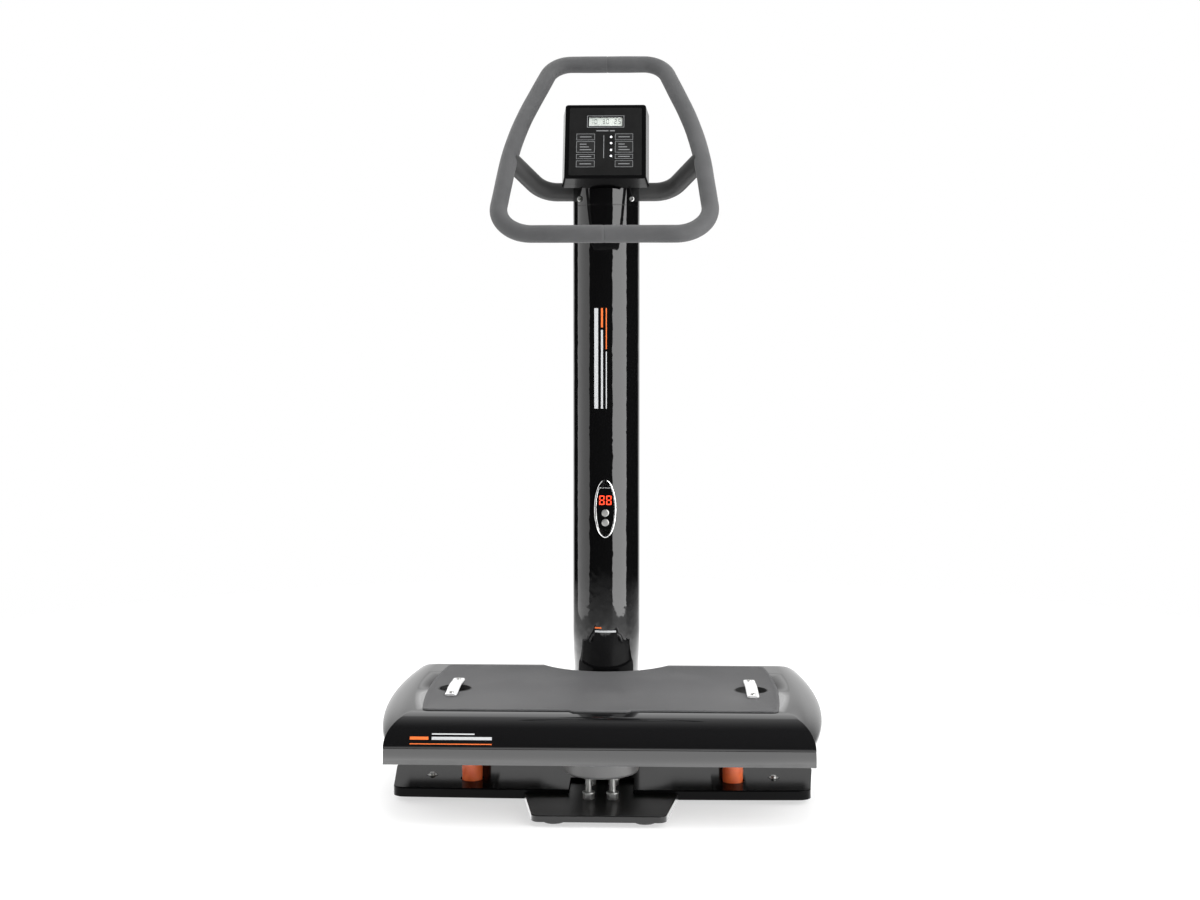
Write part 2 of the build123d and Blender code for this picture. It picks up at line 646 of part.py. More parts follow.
def strap_bars():
    """Flat bar, arched over the cup, with both ends screwed down on the mat."""
    half = STRAP_BAR_LENGTH / 2
    rise = STRAP_BAR_RISE
    thick = STRAP_BAR_THICK
    flat = half - 2 * STRAP_END
    upper = [
        Polyline((-half, 0), (-half, thick), (-flat, thick)),
        ThreePointArc((-flat, thick), (0, thick + rise), (flat, thick)),
        Polyline((flat, thick), (half, thick), (half, 0), (flat, 0)),
        ThreePointArc((flat, 0), (0, rise), (-flat, 0)),
        Line((-flat, 0), (-half, 0)),
    ]
    side_plane = Plane(origin=(STRAP_X - STRAP_BAR_WIDTH / 2, back(STRAP_AT), MAT_TOP),
                       x_dir=(0, 1, 0), z_dir=(1, 0, 0))
    bar = extrude(side_plane * make_face(upper), amount=STRAP_BAR_WIDTH)
    bar = fillet(bar.edges().filter_by(Axis.Z), 4)
    for end in (-1, 1):
        bar -= upright(STRAP_X, back(STRAP_AT + end * (half - STRAP_END)), MAT_TOP - 1, MAT_TOP + thick + 1,
                       STRAP_SCREW_R + SEAT_GAP)
    return both_sides(bar)


def strap_screws():
    screws = []
    for end in (-1, 1):
        y = back(STRAP_AT + end * (STRAP_BAR_LENGTH / 2 - STRAP_END))
        screws += both_sides(pan_screw((STRAP_X, y, MAT_TOP + STRAP_BAR_THICK), (0, 0, -1),
                                       STRAP_BAR_THICK + MAT_THICK, STRAP_SCREW_R))
    return screws


def dampers():
    made = []
    for x, d in DAMPER_PLACES:
        damper = pipe(x, back(d), PLATE_TOP, DAMPER_TOP, DAMPER_R, DAMPER_BOLT_R + SEAT_GAP)
        outer_rims = [e for e in damper.edges().filter_by(GeomType.CIRCLE) if e.radius > DAMPER_R - 1]
        made += both_sides(fillet(outer_rims, 2))
    return made


def damper_lower_bolts():
    bolts = []
    for x, d in DAMPER_PLACES:
        bolts += both_sides(hex_bolt(x, back(d), PLATE_TOP + 18, FOOT_HEIGHT, FOOT_HEIGHT - 5, DAMPER_BOLT_R))
    return bolts


def damper_upper_bolts():
    bolts = []
    floor = FRAME_PAD_TOP + RAIL_WALL
    for x, d in DAMPER_PLACES:
        bolts += both_sides(hex_bolt(x, back(d), DAMPER_TOP - 18, floor, floor + 5, DAMPER_BOLT_R))
    return bolts


# ---- column --------------------------------------------------------------------------------------

SERVICE_LOW = 90.0
SERVICE_HIGH = 430.0
SERVICE_HALF = 32.0
COLUMN_SCREW_R = 3.0
COLUMN_SCREW_LENGTH = 12.0


def column_face(inset):
    """Section of the column: half-elliptic front, straight sides, chamfered back corners."""
    half = COLUMN_HALF - inset
    shoulder = back(COLUMN_FRONT + COLUMN_ROUND)
    rear = back(COLUMN_REAR) - inset
    rear_half = COLUMN_REAR_HALF - inset / 2
    side_end = back(COLUMN_SIDE_END) - inset / 2
    return make_face([
        EllipticalCenterArc((0, shoulder), half, COLUMN_ROUND - inset, start_angle=180, arc_size=180),
        Polyline((half, shoulder), (half, side_end), (rear_half, rear),
                 (-rear_half, rear), (-half, side_end), (-half, shoulder)),
    ])


def column_solid(inset, z_low, z_high):
    return extrude(Plane.XY.offset(z_low) * column_face(inset), z_high - z_low)


def oval(half_w, half_h, y_front, y_back):
    face = Plane(origin=(0, y_front, OVAL_HEIGHT), x_dir=(1, 0, 0), z_dir=(0, -1, 0))
    face *= Ellipse(half_w, half_h)
    return extrude(face, amount=-(y_back - y_front))


def column_shell():
    bottom = PLATE_TOP + FLANGE_THICK
    shell = column_solid(0, bottom, COLUMN_TOP) - column_solid(COLUMN_WALL, bottom - 1, COLUMN_TOP + 1)
    shell -= oval(OVAL_HALF_W - 3, OVAL_HALF_H - 4, back(COLUMN_FRONT - 10), back(COLUMN_FRONT + 20))
    shell -= block(-SERVICE_HALF, SERVICE_HALF, back(COLUMN_REAR - 10), back(COLUMN_REAR + 1),
                   SERVICE_LOW, SERVICE_HIGH)
    shell -= rod((0, back(COLUMN_FRONT - 10), CABLE_Z), (0, back(COLUMN_FRONT + 20), CABLE_Z), CABLE_R + 1.5)
    shell -= [rod((side * x, back(COLUMN_REAR - 8), z), (side * x, back(COLUMN_REAR + 1), z),
                  COLUMN_SCREW_R + SEAT_GAP)
              for side in (-1, 1) for x, z in service_screw_places()]
    return shell


def service_screw_places():
    rows = (SERVICE_LOW + 20, (SERVICE_LOW + SERVICE_HIGH) / 2, SERVICE_HIGH - 20)
    return [(SERVICE_HALF + 6, z) for z in rows]


def column_foot_flange():
    flange = block(-FLANGE_HALF, FLANGE_HALF, back(FLANGE_FRONT), back(FLANGE_REAR),
                   PLATE_TOP, PLATE_TOP + FLANGE_THICK)
    flange = fillet(flange.edges().filter_by(Axis.Z), 10)
    flange_top = PLATE_TOP + FLANGE_THICK
    holes = [upright(s * FLANGE_BOLT_X, back(d), PLATE_TOP - 1, flange_top + 1, STUD_R + SEAT_GAP)
             for s in (-1, 1) for d in FLANGE_BOLT_ROWS]
    window = block(-40, 40, back(COLUMN_FRONT + 45), back(COLUMN_REAR - 30),
                   PLATE_TOP - 1, PLATE_TOP + FLANGE_THICK + 1)
    return flange - holes - window


def column_foot_bolts():
    seat = PLATE_TOP + FLANGE_THICK
    bolts = []
    for d in FLANGE_BOLT_ROWS:
        bolts += both_sides(hex_bolt(FLANGE_BOLT_X, back(d), FOOT_HEIGHT + 1, seat, seat + 7.5, STUD_R))
    return bolts


def column_foot_trim():
    """Plinth that hides the flange and its bolts."""
    low = BASE_COVER_TOP
    high = PLATE_TOP + FLANGE_THICK + 16
    outer = block(-FLANGE_HALF - 6, FLANGE_HALF + 6, back(FLANGE_FRONT - 6), back(FLANGE_REAR + 6), low, high)
    outer = fillet(outer.edges().filter_by(Axis.Z), 14)
    outer = fillet(outer.edges().group_by(Axis.Z)[-1], 4)
    inner = block(-FLANGE_HALF - 3, FLANGE_HALF + 3, back(FLANGE_FRONT - 3), back(FLANGE_REAR + 3),
                  low - 1, high - 3)
    cable_gap = rod((0, back(FLANGE_FRONT - 10), CABLE_Z), (0, back(COLUMN_FRONT), CABLE_Z), CABLE_R + 1.5)
    return outer - inner - column_solid(-0.3, low - 1, high + 1) - cable_gap


def bow_path():
    """Centre line of the bow tube from one side of the loop, through the head, to the other."""
    join_x, join_y, join_z = loop_point(bow_join_half(), BOW_JOIN_UP)
    corner = (BOW_CORNER_X, back(BOW_BACK), BOW_HEIGHT)
    line = Polyline((-join_x, join_y, join_z), (-corner[0], corner[1], corner[2]), corner,
                    (join_x, join_y, join_z))
    return fillet(line.vertices().sort_by(Axis.X)[1:3], BOW_BEND)


def loop_point(half, up):
    """A point of the loop's tilted plane: half is across, up is along the slope."""
    length = hypot(LOOP_RUN, LOOP_RISE)
    return (half, back(LOOP_FRONT + LOOP_RUN * up / length), LOOP_BOTTOM + LOOP_RISE * up / length)


def bow_join_half():
    """Half width of the loop where the bow tube joins, on the straight below the knee."""
    return LOOP_BOTTOM_HALF + (LOOP_KNEE_HALF - LOOP_BOTTOM_HALF) * BOW_JOIN_UP / LOOP_KNEE_UP


def loop_path():
    length = hypot(LOOP_RUN, LOOP_RISE)
    slope_plane = Plane(origin=(0, back(LOOP_FRONT), LOOP_BOTTOM), x_dir=(1, 0, 0),
                        z_dir=(0, -LOOP_RISE, LOOP_RUN))
    corners = [
        (-LOOP_BOTTOM_HALF, 0), (LOOP_BOTTOM_HALF, 0), (LOOP_KNEE_HALF, LOOP_KNEE_UP),
        (LOOP_TOP_HALF, length), (-LOOP_TOP_HALF, length), (-LOOP_KNEE_HALF, LOOP_KNEE_UP),
    ]
    face = make_face(Polyline(*corners, close=True))
    by_height = face.vertices().group_by(Axis.Y)
    face = fillet(by_height[0], LOOP_BOTTOM_BEND)
    face = fillet([v for v in face.vertices() if abs(v.Y - LOOP_KNEE_UP) < 1], LOOP_KNEE_BEND)
    face = fillet([v for v in face.vertices() if abs(v.Y - length) < 1], LOOP_TOP_BEND)
    return (slope_plane * face).wire()


def swept(path, radius):
    return sweep(Plane(origin=path @ 0, z_dir=path % 0) * Circle(radius), path=path)


def bow_tube(path):
    tube = swept(path, BOW_R) - swept(path, BOW_R - BOW_WALL)
    return tube - swept(loop_path(), LOOP_TUBE_R + SEAT_GAP)


def handlebar_tube(path):
    return swept(path, LOOP_TUBE_R) - swept(path, LOOP_TUBE_R - LOOP_TUBE_WALL)


def handlebar_foam(path, carrier):
    sleeve = swept(path, FOAM_R) - swept(path, LOOP_TUBE_R + SEAT_GAP)
    return sleeve - swept(carrier, BOW_R + SEAT_GAP)


HEAD_SCREW_X = 54.0
HEAD_SCREW_Z = 1178.0
HEAD_CABLE_AT = 552.0
HEAD_LINE = 0.5


def head_screw_y():
    """Where the half-elliptic front of the head is at the screws."""
    return back(COLUMN_FRONT + COLUMN_ROUND - COLUMN_ROUND * sqrt(1 - (HEAD_SCREW_X / COLUMN_HALF) ** 2)) + 2


def column_head(carrier):
    head = column_solid(0, COLUMN_TOP + HEAD_LINE, HEAD_TOP)
    head += column_solid(COLUMN_WALL + 0.2, COLUMN_TOP - 30, COLUMN_TOP + HEAD_LINE + 1)
    head -= swept(carrier, BOW_R + SEAT_GAP)
    head -= upright(0, back(HEAD_CABLE_AT), COLUMN_TOP - 40, HEAD_TOP + 1, 8)
    head -= console_at() * Pos(0, CONSOLE_BACK_H / 2 - 2, -CONSOLE_THICK / 2 - 0.25) * Box(
        CONSOLE_BACK_W + 10, CONSOLE_BACK_H + 6, CONSOLE_THICK + 0.5)
    y = head_screw_y()
    for side in (-1, 1):
        x = side * HEAD_SCREW_X
        head -= rod((x, y - 30, HEAD_SCREW_Z), (x, y, HEAD_SCREW_Z), 6.5)
        head -= rod((x, y - 1, HEAD_SCREW_Z), (x, y + 26, HEAD_SCREW_Z), COLUMN_SCREW_R + SEAT_GAP)
    return head


def column_screws():
    """The two screws at the front of the head and the six round the service cover are alike."""
    screws = both_sides(pan_screw((HEAD_SCREW_X, head_screw_y(), HEAD_SCREW_Z), (0, 1, 0),
                                  COLUMN_SCREW_LENGTH, COLUMN_SCREW_R))
    for x, z in service_screw_places():
        screws += both_sides(pan_screw((x, back(COLUMN_REAR) + COVER_PLATE, z), (0, -1, 0),
                                       COLUMN_SCREW_LENGTH, COLUMN_SCREW_R))
    return screws


# ---- console -------------------------------------------------------------------------------------

OVERLAY_W = 150.0
OVERLAY_H = 158.0
OVERLAY_THICK = 0.8
KEY_THICK = 0.5
KEY_SIDES = ((-60.0, -22.0), (20.0, 57.0))
KEY_ROWS = ((26.0, 41.0), (45.0, 56.0), (60.0, 86.0), (89.0, 104.0))
LAMP_X = 11.7
LAMP_UPS = (52.0, 66.0, 82.0, 96.5)
LAMP_R = 2.0


def console_at():
    """Frame of the console's face: x across, y up the face, z out towards the user."""
    tilt = radians(CONSOLE_TILT)
    return Plane(origin=(0, back(CONSOLE_FRONT), CONSOLE_BOTTOM), x_dir=(1, 0, 0),
                 z_dir=(0, -cos(tilt), sin(tilt)))


def console_body(inset):
    face_w, face_h = CONSOLE_FACE_W - 2 * inset, CONSOLE_FACE_H - 2 * inset
    back_w, back_h = CONSOLE_BACK_W - 2 * inset, CONSOLE_BACK_H - 2 * inset
    front = Plane(origin=(0, CONSOLE_FACE_H / 2, -inset)) * RectangleRounded(face_w, face_h, 6)
    rear = Plane(origin=(0, CONSOLE_FACE_H / 2, -CONSOLE_THICK + inset)) * RectangleRounded(back_w, back_h, 6)
    return loft([rear, front])


def console_slice(z_low, z_high):
    return Pos(0, CONSOLE_FACE_H / 2, (z_low + z_high) / 2) * Box(300, 300, z_high - z_low)


def console_front_shell():
    shell = (console_body(0) - console_body(CONSOLE_WALL)) & console_slice(-CONSOLE_SPLIT, 1)
    shell -= Pos(0, LCD_UP, 0) * Box(LCD_W, LCD_H, 4 * CONSOLE_WALL)
    shell -= [Pos(LAMP_X, up, 0) * Cylinder(LAMP_R + SEAT_GAP, 4 * CONSOLE_WALL) for up in LAMP_UPS]
    return console_at() * shell


def bracket_hole_places():
    return [(s * 22, up) for s in (-1, 1) for up in (52, 92)]


def console_rear_shell():
    shell = (console_body(0) - console_body(CONSOLE_WALL)) & console_slice(-CONSOLE_THICK - 1, -CONSOLE_SPLIT)
    shell -= Pos(0, 72, -CONSOLE_THICK) * Cylinder(9, 4 * CONSOLE_WALL)
    shell -= [Pos(x, up, -CONSOLE_THICK) * Cylinder(2.5 + SEAT_GAP, 4 * CONSOLE_WALL)
              for x, up in bracket_hole_places()]
    return console_at() * shell


def console_overlay():
    sheet = extrude(Plane(origin=(0, CONSOLE_FACE_H / 2, 0)) * RectangleRounded(OVERLAY_W, OVERLAY_H, 4),
                    OVERLAY_THICK)
    sheet -= Pos(0, LCD_UP, 0) * Box(LCD_W, LCD_H, 4)
    sheet -= [Pos(LAMP_X, up, 0) * Cylinder(LAMP_R + SEAT_GAP, 4) for up in LAMP_UPS]
    return console_at() * sheet


def console_keys():
    keys = []
    for x_low, x_high in KEY_SIDES:
        for up_low, up_high in KEY_ROWS:
            middle = Plane(origin=((x_low + x_high) / 2, (up_low + up_high) / 2, OVERLAY_THICK))
            pad = extrude(middle * RectangleRounded(x_high - x_low, up_high - up_low, 2), KEY_THICK)
            keys.append(console_at() * pad)
    return keys


def display_window():
    return console_at() * (Pos(0, LCD_UP, -0.5) * Box(LCD_W - 0.4, LCD_H - 0.4, 2.2))


def display_module():
    return console_at() * (Pos(0, LCD_UP, -5.4) * Box(LCD_W + 12, LCD_H + 14, 4.4))


def console_lamps():
    return [console_at() * (Pos(LAMP_X, up, -2.2) * Cylinder(LAMP_R, 7)) for up in LAMP_UPS]


def console_board():
    board = Pos(0, CONSOLE_FACE_H / 2, -13) * Box(140, 150, 1.6)
    chips = [Pos(x, up, -15.3) * Box(18, 12, 3) for x, up in ((-30, 60), (25, 60), (0, 100))]
    socket = Pos(0, 30, -16.8) * Box(30, 10, 6)
    board = board + chips[0] + chips[1] + chips[2] + socket
    return console_at() * board


def behind_console(up, deep):
    """Y and Z of a point up the face and deep behind it."""
    point = console_at().from_local_coords(Vector(0, up, -deep))
    return point.Y, point.Z


def console_bracket():
    """Bent plate: the upright leg backs the console and the flat leg sits on the column head."""
    leg = Pos(0, 74, -CONSOLE_THICK - 2.1) * Box(64, 76, 4)
    leg -= Pos(0, 72, -CONSOLE_THICK - 2) * Cylinder(9, 8)
    leg -= [Pos(x, up, -CONSOLE_THICK) * Cylinder(2.5 + SEAT_GAP, 20) for x, up in bracket_hole_places()]
    leg = console_at() * leg
    shelf = block(-32, 32, back(464), back(534), HEAD_TOP, HEAD_TOP + 4)
    shelf -= [upright(s * 20, back(524), HEAD_TOP - 1, HEAD_TOP + 5, 3 + SEAT_GAP) for s in (-1, 1)]
    near, far = CONSOLE_THICK + 0.1, CONSOLE_THICK + 4.1
    web_plane = Plane(origin=(-32, 0, 0), x_dir=(0, 1, 0), z_dir=(1, 0, 0))
    web = make_face(Polyline(
        behind_console(36, near), behind_console(42, near), behind_console(42, far),
        (back(474), HEAD_TOP + 4), (back(474), HEAD_TOP), (back(464), HEAD_TOP), close=True))
    web = extrude(web_plane * web, amount=64)
    return leg + shelf + web


def console_screws():
    """Four screws through the bracket into the console's back, two into the column head."""
    tilt = radians(CONSOLE_TILT)
    into = (0, -cos(tilt), sin(tilt))
    screws = []
    for x, up in bracket_hole_places():
        seat = console_at().from_local_coords(Vector(x, up, -CONSOLE_THICK - 4.1))
        screws.append(pan_screw(tuple(seat), into, 12, 2.5))
    screws += both_sides(pan_screw((20, back(524), HEAD_TOP + 4), (0, 0, -1), 4, 3))
    return screws


# ---- oval panel on the column --------------------------------------------------------------------

OVAL_PROUD = 5.0
OVAL_RIM = 4.5
WINDOW_HALF_H = 43.0
WINDOW_THICK = 2.5
SEGMENT = 1.9
DIGIT_W = 10.5
DIGIT_H = 19.0
DIGIT_STEP = 14.5


def oval_window_solid(grow, y_front, y_back):
    shape = oval(OVAL_HALF_W - OVAL_RIM + grow, OVAL_HALF_H - OVAL_RIM + grow, y_front, y_back)
    limit = WINDOW_HALF_H + grow
    return shape & block(-50, 50, y_front - 1, y_back + 1, OVAL_HEIGHT - limit, OVAL_HEIGHT + limit)


def oval_bezel():
    front = back(COLUMN_FRONT - OVAL_PROUD)
    seat = back(COLUMN_FRONT + 6)
    rim = oval(OVAL_HALF_W, OVAL_HALF_H, front, seat)
    rim = fillet(rim.edges().group_by(Axis.Y)[0], 2.2)
    rim -= oval_window_solid(0.1, front - 1, seat + 1)
    return rim - column_solid(-0.1, OVAL_HEIGHT - 100, OVAL_HEIGHT + 100)


def oval_window():
    front = back(COLUMN_FRONT - OVAL_PROUD + 2)
    window = oval_window_solid(0, front, front + WINDOW_THICK)
    return window - [rod((0, front - 5, z), (0, front + 20, z), OVAL_BUTTON_R + RUNNING_GAP)
                     for z in (UP_BUTTON_Z, DOWN_BUTTON_Z)]


def oval_button(z):
    front = back(COLUMN_FRONT - OVAL_PROUD + 2) - 1.6
    cap = rod((0, front, z), (0, front + 7, z), OVAL_BUTTON_R)
    return fillet(cap.edges().group_by(Axis.Y)[0], 1.2)


def seven_segments(digit_x, lit):
    """Solid segments of one digit, standing on the window."""
    front = back(COLUMN_FRONT - OVAL_PROUD + 2) - 0.2
    rear = front + 0.2
    half_w, half_h = DIGIT_W / 2, DIGIT_H / 2
    gap = 0.4
    mid = SEGMENT / 2
    spans = {
        "top": (-half_w + SEGMENT + gap, half_w - SEGMENT - gap, half_h - SEGMENT, half_h),
        "middle": (-half_w + SEGMENT + gap, half_w - SEGMENT - gap, -mid, mid),
        "bottom": (-half_w + SEGMENT + gap, half_w - SEGMENT - gap, -half_h, -half_h + SEGMENT),
        "upper_left": (-half_w, -half_w + SEGMENT, mid + gap, half_h - gap),
        "upper_right": (half_w - SEGMENT, half_w, mid + gap, half_h - gap),
        "lower_left": (-half_w, -half_w + SEGMENT, -half_h + gap, -mid - gap),
        "lower_right": (half_w - SEGMENT, half_w, -half_h + gap, -mid - gap),
    }
    return [block(digit_x + spans[name][0], digit_x + spans[name][1], front, rear,
                  DIGITS_Z + spans[name][2], DIGITS_Z + spans[name][3]) for name in lit]


def oval_digits():
    every = ("top", "middle", "bottom", "upper_left", "upper_right", "lower_left", "lower_right")
    return seven_segments(-DIGIT_STEP / 2, every) + seven_segments(DIGIT_STEP / 2, every)


def oval_board():
    y = back(COLUMN_FRONT + 12)
    board = block(-15, 15, y, y + 1.6, OVAL_HEIGHT - 40, OVAL_HEIGHT + 40)
    for z in (UP_BUTTON_Z, DOWN_BUTTON_Z):
        board += block(-3, 3, y - 5, y, z - 3, z + 3)
    return board + block(-8, 8, y + 1.6, y + 8, OVAL_HEIGHT - 30, OVAL_HEIGHT - 20)


# ---- drive and wiring inside the column ----------------------------------------------------------

CHASSIS_AT = 520.0
CHASSIS_LOW = 110.0
CHASSIS_HIGH = 420.0


def drive_chassis():
    plate = block(-50, 50, back(CHASSIS_AT), back(CHASSIS_AT + 3), CHASSIS_LOW, CHASSIS_HIGH)
    for z in (CHASSIS_LOW, CHASSIS_HIGH - 3):
        plate += block(-50, 50, back(CHASSIS_AT - 60), back(CHASSIS_AT), z, z + 3)
    return plate


def drive_transformer():
    y_low, y_high = back(CHASSIS_AT - 52), back(CHASSIS_AT)
    stack = block(-38, 38, y_low, y_high, CHASSIS_LOW + 8, CHASSIS_LOW + 72)
    stack = chamfer(stack.edges().filter_by(Axis.Y), 4)
    bobbin = block(-26, 26, y_low - 7, y_low, CHASSIS_LOW + 20, CHASSIS_LOW + 60)
    return stack + fillet(bobbin.edges().filter_by(Axis.Z), 3)


def drive_board():
    y = back(CHASSIS_AT - 10)
    board = block(-45, 45, y - 1.6, y, CHASSIS_LOW + 90, CHASSIS_HIGH - 20)
    for x, z in ((-24, 230), (4, 230), (-24, 262), (4, 262)):
        board += rod((x, y - 34, z), (x, y - 1.6, z), 12)
    board += block(-40, 20, y - 26, y - 1.6, 300, 372)
    for x in (-40, 40):
        board += block(x - 3, x + 3, y, back(CHASSIS_AT), CHASSIS_LOW + 100, CHASSIS_LOW + 106)
        board += block(x - 3, x + 3, y, back(CHASSIS_AT), CHASSIS_HIGH - 34, CHASSIS_HIGH - 28)
    return board


INLET_Z = 128.0
SWITCH_Z = 172.0
COVER_PLATE = 2.0
ROCKER_R = 11.0
ROCKER_PIN_R = 2.0


def service_cover():
    y = back(COLUMN_REAR)
    plate = block(-SERVICE_HALF - 12, SERVICE_HALF + 12, y, y + COVER_PLATE,
                  SERVICE_LOW - 10, SERVICE_HIGH + 10)
    plate = fillet(plate.edges().filter_by(Axis.Y), 5)
    plate -= block(-14, 14, y - 1, y + 5, INLET_Z - 11, INLET_Z + 11)
    plate -= block(-11, 11, y - 1, y + 5, SWITCH_Z - 14, SWITCH_Z + 14)
    for row in range(6):
        z = SERVICE_HIGH - 60 + row * 9
        plate -= block(-22, 22, y - 1, y + 5, z, z + 4)
    return plate - [rod((s * x, y - 1, z), (s * x, y + 5, z), COLUMN_SCREW_R + SEAT_GAP)
                    for s in (-1, 1) for x, z in service_screw_places()]


def mains_inlet():
    y = back(COLUMN_REAR)
    body = block(-13.8, 13.8, y - 22, y + COVER_PLATE, INLET_Z - 10.8, INLET_Z + 10.8)
    body += block(-17, 17, y + COVER_PLATE, y + COVER_PLATE + 2, INLET_Z - 14, INLET_Z + 14)
    body -= block(-11, 11, y - 14, y + 6, INLET_Z - 8, INLET_Z + 8)
    for x, z in ((-6, -2.5), (6, -2.5), (0, 3)):
        body += block(x - 1, x + 1, y - 15, y, INLET_Z + z - 2.2, INLET_Z + z + 2.2)
    return body


def switch_frame():
    y = back(COLUMN_REAR)
    body = block(-10.8, 10.8, y - 20, y + COVER_PLATE, SWITCH_Z - 13.8, SWITCH_Z + 13.8)
    body += block(-13, 13, y + COVER_PLATE, y + COVER_PLATE + 1.5, SWITCH_Z - 17, SWITCH_Z + 17)
    body -= block(-8, 8, y - 16, y + 6, SWITCH_Z - 12, SWITCH_Z + 12)
    return body - rod((-9.7, y - 6, SWITCH_Z), (9.7, y - 6, SWITCH_Z), ROCKER_PIN_R + RUNNING_GAP)


def power_rocker():
    """Rocker that tips about a cross axis inside the switch frame."""
    y = back(COLUMN_REAR)
    barrel = rod((-7.5, y - 6, SWITCH_Z), (7.5, y - 6, SWITCH_Z), 4)
    barrel += rod((-9.5, y - 6, SWITCH_Z), (9.5, y - 6, SWITCH_Z), ROCKER_PIN_R)
    cap = rod((-7.5, y - 6, SWITCH_Z), (7.5, y - 6, SWITCH_Z), ROCKER_R)
    cap &= block(-8, 8, y - 2, y + 8, SWITCH_Z - 20, SWITCH_Z + 20)
    dish = rod((-8, y + 19, SWITCH_Z), (8, y + 19, SWITCH_Z), 17)
    return barrel + block(-7.5, 7.5, y - 6, y - 1, SWITCH_Z - 3, SWITCH_Z + 3) + cap - dish


def cable_loom():
    """Cable from the drive up through the head and the console's back."""
    tilt = radians(CONSOLE_TILT)
    end = console_at().from_local_coords(Vector(0, 72, -CONSOLE_THICK + 14))
    start_y = back(HEAD_CABLE_AT)
    behind = console_at().from_local_coords(Vector(0, 72, -CONSOLE_THICK - 30))
    path = Polyline((0, start_y, 440), (0, start_y, behind.Z - 20), tuple(behind), tuple(end))
    path = fillet(path.vertices().sort_by(Axis.Z)[1:3], 12)
    return swept(path, CABLE_R)


# ---- build ---------------------------------------------------------------------------------------

def main():
    os.makedirs("parts", exist_ok=True)
    carrier = bow_path()
    loop = loop_path()

    save("base_plate", base_plate())
    save("base_cover", base_cover())
    save("levelling_feet", levelling_feet())
    save("foot_studs", foot_studs())
    save("wheel_brackets", wheel_brackets())
    save("wheel_axles", wheel_axles())
    save("wheel_left", wheel(-1))
    save("wheel_right", wheel(1))

    save("exciter_housing", exciter_housing())
    save("exciter_core", exciter_core())
    save("exciter_coil", exciter_coil())
    save("exciter_studs", exciter_studs())
    save("exciter_nuts", exciter_nuts())
    save("exciter_cable", exciter_cable())
    save("armature_plate", armature_plate())
    save("armature_screws", armature_screws())

    save("deck_shell", deck_shell())
    save("deck_frame", deck_frame())
    save("deck_board", deck_board())
    save("board_screws", board_screws())
    save("deck_mat", deck_mat())
    save("strap_cups", strap_cups())
    save("strap_bars", strap_bars())
    save("strap_screws", strap_screws())
    save("dampers", dampers())
    save("damper_lower_bolts", damper_lower_bolts())
    save("damper_upper_bolts", damper_upper_bolts())

    save("column_shell", column_shell())
    save("column_foot_flange", column_foot_flange())
    save("column_foot_bolts", column_foot_bolts())
    save("column_foot_trim", column_foot_trim())
    save("column_head", column_head(carrier))
    save("column_screws", column_screws())
    save("bow_tube", bow_tube(carrier))
    save("handlebar_tube", handlebar_tube(loop))
    save("handlebar_foam", handlebar_foam(loop, carrier))

    save("console_front_shell", console_front_shell())
    save("console_rear_shell", console_rear_shell())
    save("console_overlay", console_overlay())
    save("console_keys", console_keys())
    save("console_lamps", console_lamps())
    save("console_board", console_board())
    save("console_bracket", console_bracket())
    save("console_screws", console_screws())
    save("display_window", display_window())
    save("display_module", display_module())

    save("oval_bezel", oval_bezel())
    save("oval_window", oval_window())
    save("oval_digits", oval_digits())
    save("oval_board", oval_board())
    save("up_button", oval_button(UP_BUTTON_Z))
    save("down_button", oval_button(DOWN_BUTTON_Z))

    save("drive_chassis", drive_chassis())
    save("drive_transformer", drive_transformer())
    save("drive_board", drive_board())
    save("cable_loom", cable_loom())
    save("service_cover", service_cover())
    save("mains_inlet", mains_inlet())
    save("switch_frame", switch_frame())
    save("power_rocker", power_rocker())


main()
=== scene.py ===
import json
import math

import bmesh
import bpy
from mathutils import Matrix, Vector


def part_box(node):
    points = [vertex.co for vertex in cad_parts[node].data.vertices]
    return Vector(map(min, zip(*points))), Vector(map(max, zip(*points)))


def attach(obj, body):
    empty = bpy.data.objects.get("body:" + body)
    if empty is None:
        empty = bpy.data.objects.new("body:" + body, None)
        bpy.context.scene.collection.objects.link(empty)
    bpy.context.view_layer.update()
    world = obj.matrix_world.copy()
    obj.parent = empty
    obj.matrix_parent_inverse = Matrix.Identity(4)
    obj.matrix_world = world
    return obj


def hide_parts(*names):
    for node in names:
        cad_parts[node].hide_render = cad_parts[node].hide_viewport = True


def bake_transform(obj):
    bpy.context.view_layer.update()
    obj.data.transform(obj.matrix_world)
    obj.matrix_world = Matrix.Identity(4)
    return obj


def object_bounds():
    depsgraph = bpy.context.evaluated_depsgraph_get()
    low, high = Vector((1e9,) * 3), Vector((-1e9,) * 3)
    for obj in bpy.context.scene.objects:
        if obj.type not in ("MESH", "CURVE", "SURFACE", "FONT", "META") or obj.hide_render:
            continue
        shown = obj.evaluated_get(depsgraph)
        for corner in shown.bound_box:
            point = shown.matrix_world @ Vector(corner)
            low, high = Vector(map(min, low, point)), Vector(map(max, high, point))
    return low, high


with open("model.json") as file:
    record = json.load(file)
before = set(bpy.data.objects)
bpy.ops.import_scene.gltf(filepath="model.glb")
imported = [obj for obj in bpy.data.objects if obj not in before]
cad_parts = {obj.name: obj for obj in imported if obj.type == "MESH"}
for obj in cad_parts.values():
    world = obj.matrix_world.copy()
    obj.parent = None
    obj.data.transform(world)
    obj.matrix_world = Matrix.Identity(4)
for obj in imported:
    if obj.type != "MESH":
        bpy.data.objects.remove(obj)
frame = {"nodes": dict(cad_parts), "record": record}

# Metres, in the CAD frame: +Z up, +Y from the user to the back, the floor at Z = 0.
CAD_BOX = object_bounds()
MM = 0.001

# ---- places read from the frame ------------------------------------------------------------------

